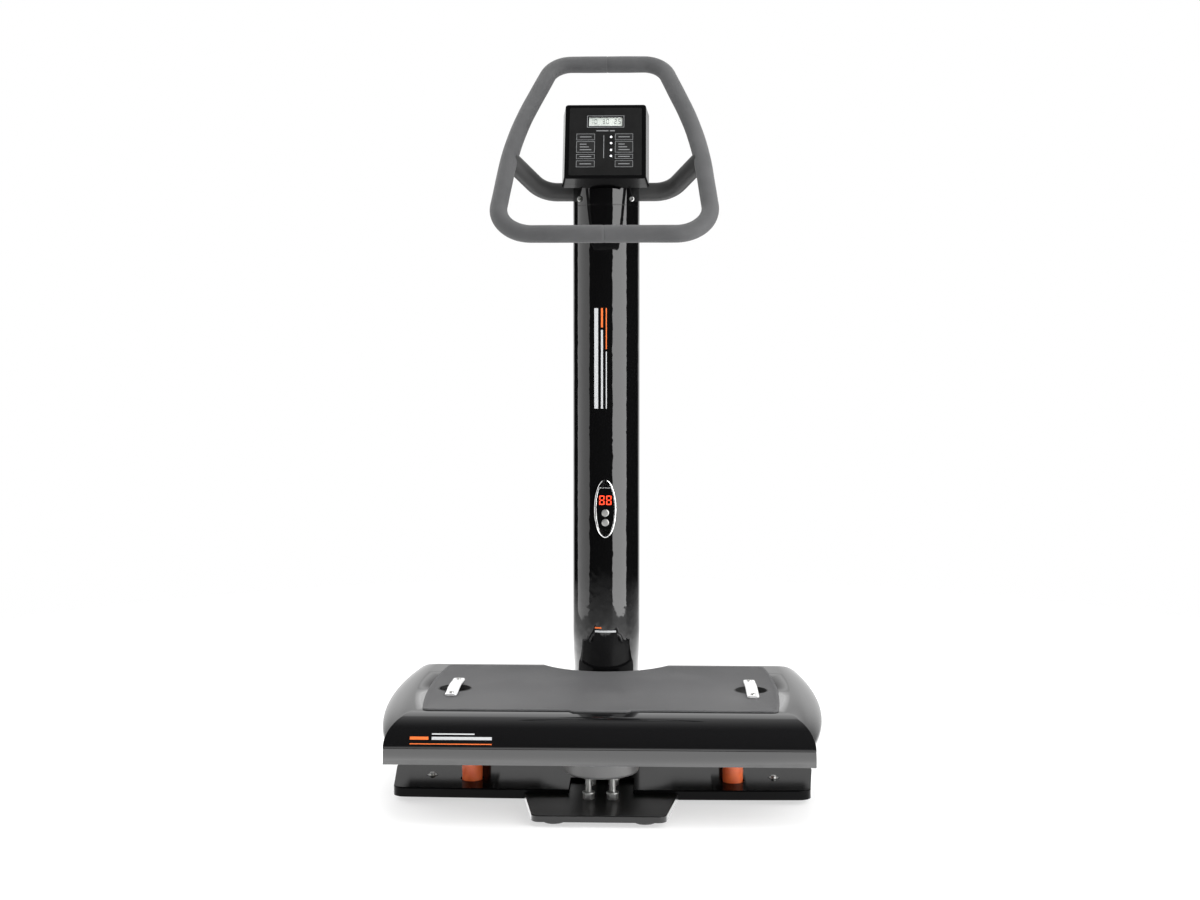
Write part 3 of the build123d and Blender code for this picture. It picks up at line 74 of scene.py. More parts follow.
DECK_LOW, DECK_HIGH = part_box("deck_shell")
MAT_LOW, MAT_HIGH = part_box("deck_mat")
COLUMN_LOW, COLUMN_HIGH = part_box("column_shell")
CUPS_LOW, CUPS_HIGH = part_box("strap_cups")
STRAP_LOW, STRAP_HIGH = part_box("strap_bars")
DAMPER_LOW, DAMPER_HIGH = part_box("dampers")
STUDS_LOW, STUDS_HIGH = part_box("exciter_studs")
SCREWS_LOW, SCREWS_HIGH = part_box("column_screws")
FRONT_Y = CAD_BOX[0][1]


def behind_lip(y):
    """How far, in millimetres, a place in the frame lies behind the deck's front lip."""
    return (y - FRONT_Y) / MM


def half_mm(value):
    """A size to the nearest half millimetre, as boxes round faceted circles come out a little small."""
    return round(value * 2) / 2


# ---- materials -----------------------------------------------------------------------------------


def grey(level):
    return (level, level, level)


class Paint:
    """A node-based material: each call adds a node and gives back its output socket."""

    def __init__(self, name):
        self.material = bpy.data.materials.new(name)
        self.material.use_nodes = True
        self.tree = self.material.node_tree
        self.shader = self.tree.nodes["Principled BSDF"]
        self.space = self.node("ShaderNodeTexCoord").outputs["Object"]

    def node(self, kind, **settings):
        made = self.tree.nodes.new(kind)
        for key, value in settings.items():
            setattr(made, key, value)
        return made

    def feed(self, socket, value):
        """Plug a socket, or write a plain value, into an input."""
        if isinstance(value, bpy.types.NodeSocket):
            self.tree.links.new(value, socket)
        elif isinstance(value, tuple) and len(value) == 3 and socket.type == "RGBA":
            socket.default_value = (*value, 1.0)
        else:
            socket.default_value = value

    def set(self, **inputs):
        for key, value in inputs.items():
            self.feed(self.shader.inputs[key.replace("_", " ")], value)
        return self

    def stretched(self, scale):
        """Object coordinates scaled differently along each axis."""
        mapping = self.node("ShaderNodeMapping")
        mapping.inputs["Scale"].default_value = scale
        self.feed(mapping.inputs["Vector"], self.space)
        return mapping.outputs["Vector"]

    def noise(self, scale, detail=3.0, rough=0.5, vector=None):
        made = self.node("ShaderNodeTexNoise")
        self.feed(made.inputs["Vector"], vector or self.space)
        made.inputs["Scale"].default_value = scale
        made.inputs["Detail"].default_value = detail
        made.inputs["Roughness"].default_value = rough
        return made.outputs["Fac"]

    def cells(self, scale, feature="F1", vector=None, randomness=1.0):
        made = self.node("ShaderNodeTexVoronoi", feature=feature)
        self.feed(made.inputs["Vector"], vector or self.space)
        made.inputs["Scale"].default_value = scale
        made.inputs["Randomness"].default_value = randomness
        return made.outputs["Distance"]

    def wave(self, scale, direction="X", distortion=0.0):
        made = self.node("ShaderNodeTexWave", wave_type="BANDS", bands_direction=direction)
        self.feed(made.inputs["Vector"], self.space)
        made.inputs["Scale"].default_value = scale
        made.inputs["Distortion"].default_value = distortion
        return made.outputs["Fac"]

    def ramp(self, value, low, high, start=0.0, end=1.0):
        """Colours (or grey levels) from low at start to high at end."""
        made = self.node("ShaderNodeValToRGB")
        stops = made.color_ramp.elements
        stops[0].position, stops[1].position = start, end
        for stop, colour in zip(stops, (low, high)):
            stop.color = (*(colour if isinstance(colour, tuple) else grey(colour)), 1.0)
        self.feed(made.inputs["Fac"], value)
        return made.outputs["Color"]

    def math(self, operation, first, second=0.0):
        made = self.node("ShaderNodeMath", operation=operation)
        self.feed(made.inputs[0], first)
        self.feed(made.inputs[1], second)
        return made.outputs["Value"]

    def blend(self, first, second, share):
        made = self.node("ShaderNodeMix", data_type="RGBA")
        self.feed(made.inputs["Factor"], share)
        self.feed(made.inputs[6], first)
        self.feed(made.inputs[7], second)
        return made.outputs[2]

    def edges(self, radius=0.0006, spread=0.12):
        """1 where the surface turns sharply, for wear along edges."""
        bevel = self.node("ShaderNodeBevel", samples=4)
        bevel.inputs["Radius"].default_value = radius
        normal = self.node("ShaderNodeNewGeometry").outputs["Normal"]
        turn = self.node("ShaderNodeVectorMath", operation="DOT_PRODUCT")
        self.feed(turn.inputs[0], bevel.outputs["Normal"])
        self.feed(turn.inputs[1], normal)
        return self.ramp(turn.outputs["Value"], 1.0, 0.0, 1.0 - spread, 1.0)

    def rounded(self, radius=0.0007):
        """Normals that turn softly over sharp edges."""
        bevel = self.node("ShaderNodeBevel", samples=4)
        bevel.inputs["Radius"].default_value = radius
        return bevel.outputs["Normal"]

    def bump(self, height, strength, depth, under=None):
        """Small relief, depth metres deep at strength 1."""
        made = self.node("ShaderNodeBump")
        made.inputs["Strength"].default_value = strength
        made.inputs["Distance"].default_value = depth
        self.feed(made.inputs["Height"], height)
        if under:
            self.feed(made.inputs["Normal"], under)
        return made.outputs["Normal"]


def gloss_black(name, tint=0.004, rough=0.04, peel=0.12, sheen=0.5):
    """Polished black lacquer: faint orange peel, hazy smears and a little dust."""
    paint = Paint(name)
    smears = paint.noise(9.0, 5.0, 0.6)
    dust = paint.ramp(paint.noise(900.0, 2.0), 0.0, 1.0, 0.70, 0.82)
    base = paint.blend((tint, tint, tint * 1.05), grey(tint * 3.0), dust)
    peel_normal = paint.bump(paint.noise(160.0, 2.0), peel, 0.00006, paint.rounded())
    return paint.set(
        Base_Color=base,
        Roughness=paint.ramp(smears, rough, rough + 0.05, 0.45, 0.8),
        Specular_IOR_Level=sheen,
        Normal=peel_normal,
    ).material


def satin_black(name, level=0.03, rough=0.38, sheen=0.5):
    """Powder coat: fine pebbling, with the coat rubbed thin along edges."""
    paint = Paint(name)
    pebbles = paint.noise(1500.0, 2.0, 0.6)
    worn = paint.math("MULTIPLY", paint.edges(), paint.noise(60.0, 4.0, 0.7))
    base = paint.blend(grey(level), grey(level + 0.10), worn)
    return paint.set(
        Base_Color=base,
        Roughness=paint.ramp(pebbles, rough - 0.06, rough + 0.10),
        Specular_IOR_Level=sheen,
        Normal=paint.bump(pebbles, 0.35, 0.00008, paint.rounded()),
    ).material


def moulded_plastic(name, level=0.022, rough=0.5, colour=None, sheen=0.5):
    """Moulded plastic with a fine spark-eroded grain."""
    paint = Paint(name)
    grain = paint.cells(1400.0)
    low = colour or grey(level)
    high = tuple(min(1.0, c * 1.35 + 0.004) for c in low)
    return paint.set(
        Base_Color=paint.blend(low, high, paint.noise(35.0, 4.0)),
        Roughness=paint.ramp(grain, rough - 0.05, rough + 0.12),
        Specular_IOR_Level=sheen,
        Normal=paint.bump(grain, 0.3, 0.00007, paint.rounded()),
    ).material


def zinc(name, level=0.62, rough=0.30):
    """Plated steel with fine turning marks and duller patches."""
    paint = Paint(name)
    marks = paint.noise(900.0, 2.0, 0.5, paint.stretched((1.0, 1.0, 6.0)))
    patches = paint.noise(70.0, 4.0, 0.6)
    return paint.set(
        Base_Color=paint.ramp(patches, (level * 0.78, level * 0.78, level * 0.76),
                              (level, level, level * 0.98)),
        Metallic=1.0,
        Roughness=paint.ramp(marks, rough - 0.06, rough + 0.16),
        Normal=paint.bump(marks, 0.25, 0.00004, paint.rounded()),
    ).material


def brushed(name, level=0.92):
    """Flat stainless bar, brushed along its length."""
    paint = Paint(name)
    lines = paint.noise(2600.0, 3.0, 0.6, paint.stretched((1.0, 0.02, 1.0)))
    return paint.set(
        Base_Color=paint.ramp(lines, grey(level * 0.82), grey(level)),
        Metallic=0.7,
        Roughness=paint.ramp(lines, 0.36, 0.55),
        Anisotropic=0.4,
        Normal=paint.bump(lines, 0.3, 0.00003),
    ).material


def chrome(name, level=0.86, rough=0.06):
    """Bright plating with a faint haze."""
    paint = Paint(name)
    haze = paint.noise(40.0, 5.0, 0.7)
    return paint.set(
        Base_Color=grey(level),
        Metallic=1.0,
        Roughness=paint.ramp(haze, rough, rough + 0.10, 0.3, 0.8),
        Normal=paint.bump(paint.noise(300.0, 2.0), 0.06, 0.00003, paint.rounded(0.002)),
    ).material


def mat_rubber(name):
    """Dark rubber mat with a tight pattern of raised pips, painted shade in the ground between them, and
    paler scuffs.
    """
    paint = Paint(name)
    pips = paint.cells(420.0, randomness=0.15)
    relief = paint.ramp(pips, 1.0, 0.0, 0.10, 0.55)
    fine = paint.noise(2600.0, 2.0)
    scuffs = paint.ramp(paint.noise(7.0, 6.0, 0.62), 0.0, 1.0, 0.42, 0.75)
    base = paint.blend((0.068, 0.068, 0.070), (0.105, 0.105, 0.106), scuffs)
    # Painted shade: the ground between the raised pips is darkened.
    base = paint.blend(base, (0.045, 0.045, 0.046), paint.ramp(pips, 0.0, 0.6, 0.45, 0.8))
    under = paint.bump(fine, 0.4, 0.00008)
    return paint.set(
        Base_Color=base,
        Roughness=paint.ramp(scuffs, 0.62, 0.78),
        Specular_IOR_Level=0.35,
        Normal=paint.bump(relief, 0.9, 0.0005, under),
    ).material


def foam_skin(name):
    """Closed-cell foam sleeve: pores darkened with painted shade, soft sheen and slight hand wear."""
    paint = Paint(name)
    pores = paint.cells(1100.0)
    wear = paint.noise(14.0, 5.0, 0.6)
    base = paint.ramp(wear, (0.050, 0.0505, 0.052), (0.070, 0.0705, 0.072), 0.3, 0.75)
    under = paint.bump(paint.noise(320.0, 3.0), 0.35, 0.00025)
    return paint.set(
        # Painted shade: the pores are darkened inside.
        Base_Color=paint.blend(base, (0.025, 0.025, 0.026), paint.ramp(pores, 0.5, 0.0, 0.05, 0.32)),
        Roughness=0.72,
        Specular_IOR_Level=0.3,
        Sheen_Weight=0.12,
        Sheen_Roughness=0.5,
        Normal=paint.bump(pores, 0.55, 0.00018, under),
    ).material


def plain_rubber(name, level):
    """Matt rubber with a pale bloom."""
    paint = Paint(name)
    fine = paint.noise(1200.0, 3.0, 0.6)
    bloom = paint.noise(30.0, 5.0, 0.65)
    return paint.set(
        Base_Color=paint.ramp(bloom, level, level * 1.3 + 0.01, 0.3, 0.8),
        Roughness=paint.ramp(fine, 0.54, 0.70),
        Specular_IOR_Level=0.35,
        Normal=paint.bump(fine, 0.4, 0.0001),
    ).material


def orange_damper(name):
    """Cast polyurethane: slightly translucent, satin, with mould haze."""
    paint = Paint(name)
    haze = paint.noise(45.0, 5.0, 0.6)
    return paint.set(
        Base_Color=paint.ramp(haze, (0.62, 0.085, 0.018), (0.86, 0.17, 0.035), 0.25, 0.8),
        Roughness=paint.ramp(haze, 0.34, 0.5),
        Subsurface_Weight=0.25,
        Subsurface_Radius=(0.004, 0.0012, 0.0006),
        Subsurface_Scale=1.0,
        Normal=paint.bump(paint.noise(500.0, 3.0), 0.25, 0.0001),
    ).material


def cast_grey(name, level=0.16):
    """Painted casting with a sandy surface and rubbed edges."""
    paint = Paint(name)
    sand = paint.noise(700.0, 4.0, 0.7)
    worn = paint.math("MULTIPLY", paint.edges(0.001), paint.noise(50.0, 4.0, 0.7))
    base = paint.blend(grey(level), grey(level + 0.2), worn)
    return paint.set(
        Base_Color=base,
        Roughness=paint.ramp(sand, 0.36, 0.55),
        Normal=paint.bump(sand, 0.4, 0.0002),
    ).material


def copper_winding(name):
    """Enamelled wire, one ridge to a turn, with painted shade in the grooves and painted highlight on the
    ridges.
    """
    paint = Paint(name)
    turns = paint.wave(260.0, "Z")
    return paint.set(
        # Painted shade and highlight: the colour runs dark to bright across each turn.
        Base_Color=paint.ramp(turns, (0.30, 0.09, 0.03), (0.62, 0.24, 0.09)),
        Metallic=0.8,
        Roughness=0.32,
        Coat_Weight=0.6,
        Normal=paint.bump(turns, 0.8, 0.0004),
    ).material


def plywood(name):
    """Plies at the edges and grain along the faces."""
    paint = Paint(name)
    plies = paint.wave(95.0, "Z", 1.5)
    grain = paint.noise(60.0, 6.0, 0.65, paint.stretched((0.15, 3.0, 3.0)))
    base = paint.ramp(grain, (0.32, 0.20, 0.10), (0.55, 0.39, 0.22), 0.3, 0.75)
    return paint.set(
        Base_Color=paint.blend(base, (0.24, 0.14, 0.07), paint.ramp(plies, 0.0, 0.6, 0.5, 0.9)),
        Roughness=paint.ramp(grain, 0.55, 0.72),
        Normal=paint.bump(grain, 0.4, 0.0003),
    ).material


def circuit_board(name):
    """Green solder mask with paler tracks."""
    paint = Paint(name)
    tracks = paint.cells(160.0, "DISTANCE_TO_EDGE", randomness=0.4)
    return paint.set(
        Base_Color=paint.ramp(tracks, (0.10, 0.26, 0.10), (0.012, 0.075, 0.035), 0.02, 0.07),
        Roughness=0.35,
        Normal=paint.bump(tracks, 0.2, 0.0001),
    ).material


def lamp(name, colour, strength):
    """Lit plastic with a faint moulded haze."""
    paint = Paint(name)
    haze = paint.noise(400.0, 3.0)
    glow = paint.ramp(haze, tuple(c * 0.85 for c in colour), colour, 0.2, 0.8)
    return paint.set(
        Base_Color=glow,
        Roughness=0.3,
        Emission_Color=glow,
        Emission_Strength=strength,
    ).material


def clear_window(name):
    """Clear plastic with faint smears."""
    paint = Paint(name)
    smears = paint.noise(60.0, 5.0, 0.6)
    return paint.set(
        Base_Color=(0.92, 0.95, 0.93),
        Roughness=paint.ramp(smears, 0.02, 0.10, 0.4, 0.8),
        Transmission_Weight=0.92,
        IOR=1.49,
        Alpha=0.35,
    ).material


def liquid_crystal(name):
    """Reflective display: pale grey-green with the pixel mesh just visible, and a faint painted glow."""
    paint = Paint(name)
    mesh_x = paint.wave(900.0, "X")
    fade = paint.noise(20.0, 3.0)
    base = paint.ramp(fade, (0.50, 0.53, 0.50), (0.68, 0.70, 0.66), 0.3, 0.7)
    return paint.set(
        Base_Color=paint.blend(base, (0.42, 0.45, 0.42), paint.ramp(mesh_x, 0.0, 0.25, 0.8, 1.0)),
        Roughness=0.4,
        # Painted glow: the reflective display emits its own pale colour, though it has no backlight.
        Emission_Color=base,
        Emission_Strength=0.35,
    ).material


def print_ink(name, colour, rough=0.45):
    """Screen-printed ink with slightly uneven cover."""
    paint = Paint(name)
    cover = paint.noise(800.0, 3.0)
    dark = tuple(c * 0.8 for c in colour)
    return paint.set(
        Base_Color=paint.ramp(cover, dark, colour, 0.3, 0.7),
        Roughness=paint.ramp(cover, rough - 0.05, rough + 0.1),
        Normal=paint.bump(cover, 0.15, 0.00003),
    ).material


MATERIALS = {
    "plate_black": satin_black("plate_black", 0.008, 0.30, 0.25),
    "cover_black": gloss_black("cover_black", 0.003, 0.10, sheen=0.03),
    "foot_rubber": plain_rubber("foot_rubber", 0.025),
    "zinc_steel": zinc("zinc_steel"),
    "damper_orange": orange_damper("damper_orange"),
    "exciter_grey": cast_grey("exciter_grey"),
    "core_steel": zinc("core_steel", 0.42, 0.38),
    "coil_copper": copper_winding("coil_copper"),
    "cable_black": plain_rubber("cable_black", 0.015),
    "deck_gloss": gloss_black("deck_gloss", 0.006, 0.05),
    "frame_black": satin_black("frame_black", 0.03),
    "board_ply": plywood("board_ply"),
    "mat_rubber": mat_rubber("mat_rubber"),
    "cup_black": moulded_plastic("cup_black", 0.015),
    "strap_steel": brushed("strap_steel"),
    "column_gloss": gloss_black("column_gloss", 0.003, 0.03),
    "trim_black": moulded_plastic("trim_black", 0.02),
    "bow_grey": satin_black("bow_grey", 0.036, 0.45, 0.2),
    "loop_steel": zinc("loop_steel", 0.5, 0.35),
    "foam_grey": foam_skin("foam_grey"),
    "console_black": gloss_black("console_black", 0.003, 0.09, sheen=0.10),
    "overlay_black": moulded_plastic("overlay_black", 0.006, 0.30, sheen=0.2),
    "key_grey": moulded_plastic("key_grey", 0.012, 0.36, sheen=0.2),
    "lamp_white": lamp("lamp_white", (0.95, 0.97, 1.0), 1.6),
    "display_glass": clear_window("display_glass"),
    "display_panel": liquid_crystal("display_panel"),
    "board_green": circuit_board("board_green"),
    "bezel_chrome": chrome("bezel_chrome"),
    "window_black": gloss_black("window_black", 0.003, 0.04, 0.05),
    "digit_red": lamp("digit_red", (1.0, 0.05, 0.015), 2.2),
    "button_silver": zinc("button_silver", 0.74, 0.26),
    "chassis_steel": zinc("chassis_steel", 0.6, 0.35),
    "transformer_iron": cast_grey("transformer_iron", 0.10),
    "service_black": satin_black("service_black", 0.024, 0.36),
    "inlet_black": moulded_plastic("inlet_black", 0.018),
    "rocker_red": moulded_plastic("rocker_red", colour=(0.45, 0.02, 0.015), rough=0.3),
    "wheel_rubber": plain_rubber("wheel_rubber", 0.06),
    "print_light": print_ink("print_light", (0.20, 0.205, 0.21)),
    "print_silver": print_ink("print_silver", (0.55, 0.56, 0.57), 0.3),
    "print_orange": print_ink("print_orange", (0.85, 0.16, 0.02)),
    "lcd_ink": print_ink("lcd_ink", (0.05, 0.06, 0.055)),
}


def dress_cad_nodes():
    """Every CAD node gets the finished material of its slot."""
    slots = {entry["node"]: entry["material_slot"] for entry in frame["record"]["subparts"]}
    for name, obj in frame["nodes"].items():
        for place in obj.material_slots:
            place.material = MATERIALS[slots[name]]


dress_cad_nodes()

# ---- mesh kit, in millimetres --------------------------------------------------------------------

FULL_TURN = 2.0 * math.pi


def back(distance):
    """Y, in millimetres, of a point the given distance behind the deck's front lip."""
    return FRONT_Y / MM + distance


def loft(shape, rings, caps=True):
    """Skin between closed rings that all have the same number of points."""
    made = [[shape.verts.new(point) for point in ring] for ring in rings]
    count = len(made[0])
    for lower, upper in zip(made, made[1:]):
        for i in range(count):
            j = (i + 1) % count
            shape.faces.new((lower[i], lower[j], upper[j], upper[i]))
    if caps:
        shape.faces.new(reversed(made[0]))
        shape.faces.new(made[-1])
    return made


def circle(radius, steps):
    angles = [FULL_TURN * i / steps for i in range(steps)]
    return [(radius * math.cos(angle), radius * math.sin(angle)) for angle in angles]


SAME_PLACE = 0.001             # points closer than this are one
AXIS_R = 0.01                  # a turned shape's points on its axis, kept apart so that its faces stay whole
AXIS_ORDER = {"X": (2, 0, 1), "Y": (0, 2, 1), "Z": (0, 1, 2)}


def placed(local, centre, axis):
    """A point given across, across and along an axis, as a point in space."""
    order = AXIS_ORDER[axis]
    return tuple(centre[k] + local[order[k]] for k in range(3))


def lathe(shape, profile, centre, axis="Z", steps=48, closed_profile=False):
    """Turn (radius, along) points about an axis through centre."""
    rings = [[placed((x, y, along), centre, axis) for x, y in circle(radius, steps)]
             for radius, along in profile]
    if closed_profile:
        loft(shape, rings + [rings[0]], caps=False)
        bmesh.ops.remove_doubles(shape, verts=shape.verts, dist=SAME_PLACE)
    else:
        loft(shape, rings)


def rounded_path(corners, radii, step):
    """Closed path round the corners, with an arc of its own radius at each."""
    points = [Vector(c) for c in corners]
    path = []
    count = len(points)
    for i, corner in enumerate(points):
        before = (points[i - 1] - corner).normalized()
        after = (points[(i + 1) % count] - corner).normalized()
        half = before.angle(after) / 2
        reach = radii[i] / math.tan(half)
        centre = corner + (before + after).normalized() * (radii[i] / math.sin(half))
        start, end = corner + before * reach - centre, corner + after * reach - centre
        swing = start.angle(end)
        turns = max(3, math.ceil(radii[i] * swing / step))
        for k in range(turns + 1):
            turn = swing * k / turns
            path.append(centre + (start * math.sin(swing - turn) + end * math.sin(turn)) / math.sin(swing))
    return resampled(path, step)


def resampled(path, step):
    """A closed path with points added so that no two neighbours are further apart than step."""
    dense = []
    count = len(path)
    for i in range(count):
        start, end = path[i], path[(i + 1) % count]
        parts = max(1, math.ceil((end - start).length / step))
        dense += [start.lerp(end, k / parts) for k in range(parts)]
    return dense


def tube(shape, path, radius_at, steps):
    """Round tube along a closed path that starts level; radius_at(distance along, angle) gives its radius."""
    count = len(path)
    tangents = [(path[(i + 1) % count] - path[i - 1]).normalized() for i in range(count)]
    side = tangents[0].cross(Vector((0, 0, 1))).normalized()
    rings = []
    along = 0.0
    for i in range(count):
        side = (side - tangents[i] * side.dot(tangents[i])).normalized()
        up = tangents[i].cross(side)
        ring = []
        for k in range(steps):
            angle = FULL_TURN * k / steps
            radius = radius_at(along, angle)
            ring.append(path[i] + side * (radius * math.cos(angle)) + up * (radius * math.sin(angle)))
        rings.append(ring)
        along += (path[(i + 1) % count] - path[i]).length
    loft(shape, rings + [rings[0]], caps=False)
    bmesh.ops.remove_doubles(shape, verts=shape.verts, dist=SAME_PLACE)


def fill_between(shape, loops):
    """Flat face bounded by an outer loop of vertices, with the other loops as holes."""
    edges = []
    for loop in loops:
        for i, vertex in enumerate(loop):
            following = loop[(i + 1) % len(loop)]
            edges.append(shape.edges.get((vertex, following)) or shape.edges.new((vertex, following)))
    bmesh.ops.triangle_fill(shape, edges=edges, use_beauty=True)


def piece(name, body, slot, shape, bevel=0.0, sharp=35.0, replaces=(), thick=0.0, paint=None):
    """Finished mesh from a shape in millimetres: it rides on a CAD body and wears its slot's material,
    or the named paint where it differs."""
    bmesh.ops.scale(shape, vec=(MM, MM, MM), verts=shape.verts)
    bmesh.ops.recalc_face_normals(shape, faces=shape.faces)
    data = bpy.data.meshes.new(name)
    shape.to_mesh(data)
    shape.free()
    data.shade_smooth()
    data.set_sharp_from_angle(angle=math.radians(sharp))
    data.materials.append(MATERIALS[paint or slot])
    made = bpy.data.objects.new(name, data)
    bpy.context.scene.collection.objects.link(made)
    if thick:
        solidify = made.modifiers.new("thickness", "SOLIDIFY")
        solidify.thickness = thick * MM
        solidify.offset = -1.0
    if bevel:
        rounding = made.modifiers.new("rounding", "BEVEL")
        rounding.width = bevel * MM
        rounding.segments = 3
        rounding.limit_method = "ANGLE"
        rounding.angle_limit = math.radians(sharp)
        rounding.harden_normals = True
    if replaces:
        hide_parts(*replaces)
    if body:
        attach(made, body)
    return made


# ---- deck ----------------------------------------------------------------------------------------

DECK_BOTTOM = DECK_LOW[2] / MM
DECK_TOP = DECK_HIGH[2] / MM
DECK_REAR = behind_lip(DECK_HIGH[1])
LIP = 29.0
ROUND_RUN = 66.0               # run of the curved front and sides
LIP_STEP = 1.5
REAR_ROUND = 20.0
DECK_HALVES = ((394.0, 0.0), (435.5, 290.0), (421.0, 500.0))    # half width at a distance from the lip
NOTCH_HALF = 142.0
NOTCH_FRONT = 412.0
SKIN = 4.0
CUP_R = half_mm((CUPS_HIGH[1] - CUPS_LOW[1]) / MM / 2)
CUP_X = half_mm(CUPS_HIGH[0] / MM - CUP_R)
CUP_AT = half_mm(behind_lip(CUPS_LOW[1]) + CUP_R)
CUP_WALL = 2.0
SIDE_STEPS = 40
NOTCH_STEPS = 36
ROUND_STEPS = 28


def circle_through(first, second, third):
    """Centre and radius of the circle through three plan points."""
    (ax, ay), (bx, by), (cx, cy) = first, second, third
    twice_area = 2 * (ax * (by - cy) + bx * (cy - ay) + cx * (ay - by))
    a_square, b_square, c_square = ax ** 2 + ay ** 2, bx ** 2 + by ** 2, cx ** 2 + cy ** 2
    centre_x = (a_square * (by - cy) + b_square * (cy - ay) + c_square * (ay - by)) / twice_area
    centre_y = (a_square * (cx - bx) + b_square * (ax - cx) + c_square * (bx - ax)) / twice_area
    return centre_x, centre_y, math.hypot(ax - centre_x, ay - centre_y)


def rise_share(z):
    """How far the rounded edge has come in at height z: 0 at the lip, 1 at the flat top."""
    up = max(0.0, min(1.0, (z - DECK_BOTTOM - LIP) / (DECK_TOP - DECK_BOTTOM - LIP)))
    return 1.0 - math.sqrt(1.0 - up * up)


def front_inset(z):
    """Distance of the deck's front surface behind the lip at height z."""
    if z <= DECK_BOTTOM + LIP:
        return 0.0
    return LIP_STEP + (ROUND_RUN - LIP_STEP) * rise_share(z)


def rear_inset(z):
    over = max(0.0, z - (DECK_TOP - REAR_ROUND))
    return REAR_ROUND - math.sqrt(REAR_ROUND ** 2 - over ** 2)


def deck_ring(z, step_in=0.0):
    """The deck's outline at height z, seen from above, starting at the front right corner."""
    centre_x, centre_at, radius = circle_through(*DECK_HALVES)
    reach = radius - ROUND_RUN * rise_share(z)
    front = front_inset(z) + step_in
    rear = DECK_REAR - rear_inset(z)

    def half(at):
        return centre_x + math.sqrt(reach ** 2 - (at - centre_at) ** 2)

    notch_depth = DECK_REAR - NOTCH_FRONT
    notch_r = (NOTCH_HALF ** 2 + notch_depth ** 2) / (2 * notch_depth)
    notch_centre = NOTCH_FRONT + notch_r
    mouth = math.sqrt(notch_r ** 2 - (rear - notch_centre) ** 2)
    swing = math.asin(mouth / notch_r)
    side = [front + (rear - front) * i / SIDE_STEPS for i in range(SIDE_STEPS + 1)]
    turns = [swing * (1 - 2 * i / NOTCH_STEPS) for i in range(1, NOTCH_STEPS)]
    right = [(half(at), at) for at in side] + [(mouth, rear)]
    notch = [(notch_r * math.sin(turn), notch_centre - notch_r * math.cos(turn)) for turn in turns]
    left = [(-x, at) for x, at in reversed(right)]
    return [(x, back(at), z) for x, at in right + notch + left]


def cup_loops(shape, z, radius, steps=48):
    """Circles of vertices round both strap cups."""
    return [[shape.verts.new((side * CUP_X + x, back(CUP_AT) + y, z)) for x, y in circle(radius, steps)]
            for side in (-1, 1)]


def make_deck_skin():
    """The glossy moulding: upright lip, curved front meeting the curved sides in a mitre, rolled notch."""
    shape = bmesh.new()
    lip_top = DECK_BOTTOM + LIP
    rings = [deck_ring(DECK_BOTTOM), deck_ring(lip_top)]
    for i in range(ROUND_STEPS + 1):
        angle = math.pi / 2 * i / ROUND_STEPS
        z = lip_top + (DECK_TOP - lip_top) * math.sin(angle)
        rings.append(deck_ring(z, step_in=LIP_STEP if i == 0 else 0.0))
    made = loft(shape, rings, caps=False)
    fill_between(shape, [made[-1]] + cup_loops(shape, DECK_TOP, CUP_R))
    piece("deck_skin", "deck", "deck_gloss", shape, sharp=24.0, replaces=("deck_shell",), thick=SKIN)


# ---- mat, straps and dampers ---------------------------------------------------------------------

MAT_BASE = MAT_LOW[2] / MM
MAT_TOP = MAT_HIGH[2] / MM
MAT_TAB_HALF = 58.0
MAT_TAB_DEPTH = 9.0
MAT_FRONT = behind_lip(MAT_LOW[1]) + MAT_TAB_DEPTH
MAT_REAR = behind_lip(MAT_HIGH[1])
MAT_HALVES = ((331.0, MAT_FRONT), (343.0, (MAT_FRONT + MAT_REAR) / 2), (330.0, MAT_REAR))
MAT_SIDE_STEPS = 12
MAT_NOTCH_STEPS = 16
MAT_CORNER = 12.0
MAT_NOTCH_HALF = 125.0
MAT_NOTCH_FRONT = 402.0
MAT_RIM = 6.0
MAT_SINK = 0.7                 # how far the textured field lies below the rim
MAT_STEP = 7.0
MAT_SLOPE = 0.8                # how wide the step down from the rim is
MAT_ROLL = 1.2                 # how far the mat's rolled edge reaches in and down
MAT_ROLL_IN = 0.35             # the middle of the roll, in from the edge
MAT_ROLL_DOWN = 0.4            # and below the top
CUP_GAP = 0.2


def mat_outline():
    """Plan of the mat, anticlockwise from above, with rounded corners and the front tab."""
    centre_x, centre_at, radius = circle_through(*MAT_HALVES)
    side = []
    for i in range(1, MAT_SIDE_STEPS):
        at = MAT_FRONT + (MAT_REAR - MAT_FRONT) * i / MAT_SIDE_STEPS
        side.append((centre_x + math.sqrt(radius ** 2 - (at - centre_at) ** 2), at))
    notch_depth = MAT_REAR - MAT_NOTCH_FRONT
    notch_r = (MAT_NOTCH_HALF ** 2 + notch_depth ** 2) / (2 * notch_depth)
    swing = math.asin(MAT_NOTCH_HALF / notch_r)
    turns = [swing * (1 - 2 * i / MAT_NOTCH_STEPS) for i in range(1, MAT_NOTCH_STEPS)]
    notch = [(notch_r * math.sin(turn), MAT_NOTCH_FRONT + notch_r * (1 - math.cos(turn))) for turn in turns]
    tab_front = MAT_FRONT - MAT_TAB_DEPTH
    slope = MAT_TAB_DEPTH * 0.9
    right = [(MAT_TAB_HALF - slope, tab_front, 3.0), (MAT_TAB_HALF, MAT_FRONT, 3.0),
             (MAT_HALVES[0][0], MAT_FRONT, MAT_CORNER)]
    right += [(x, at, 1.0) for x, at in side]
    right += [(MAT_HALVES[2][0], MAT_REAR, MAT_CORNER), (MAT_NOTCH_HALF, MAT_REAR, 4.0)]
    middle = [(x, at, 1.0) for x, at in notch]
    left = [(-x, at, radius_here) for x, at, radius_here in reversed(right)]
    corners = right + middle + left
    points = [(x, back(at), 0.0) for x, at, _ in corners]
    return rounded_path(points, [radius_here for _, _, radius_here in corners], MAT_STEP)


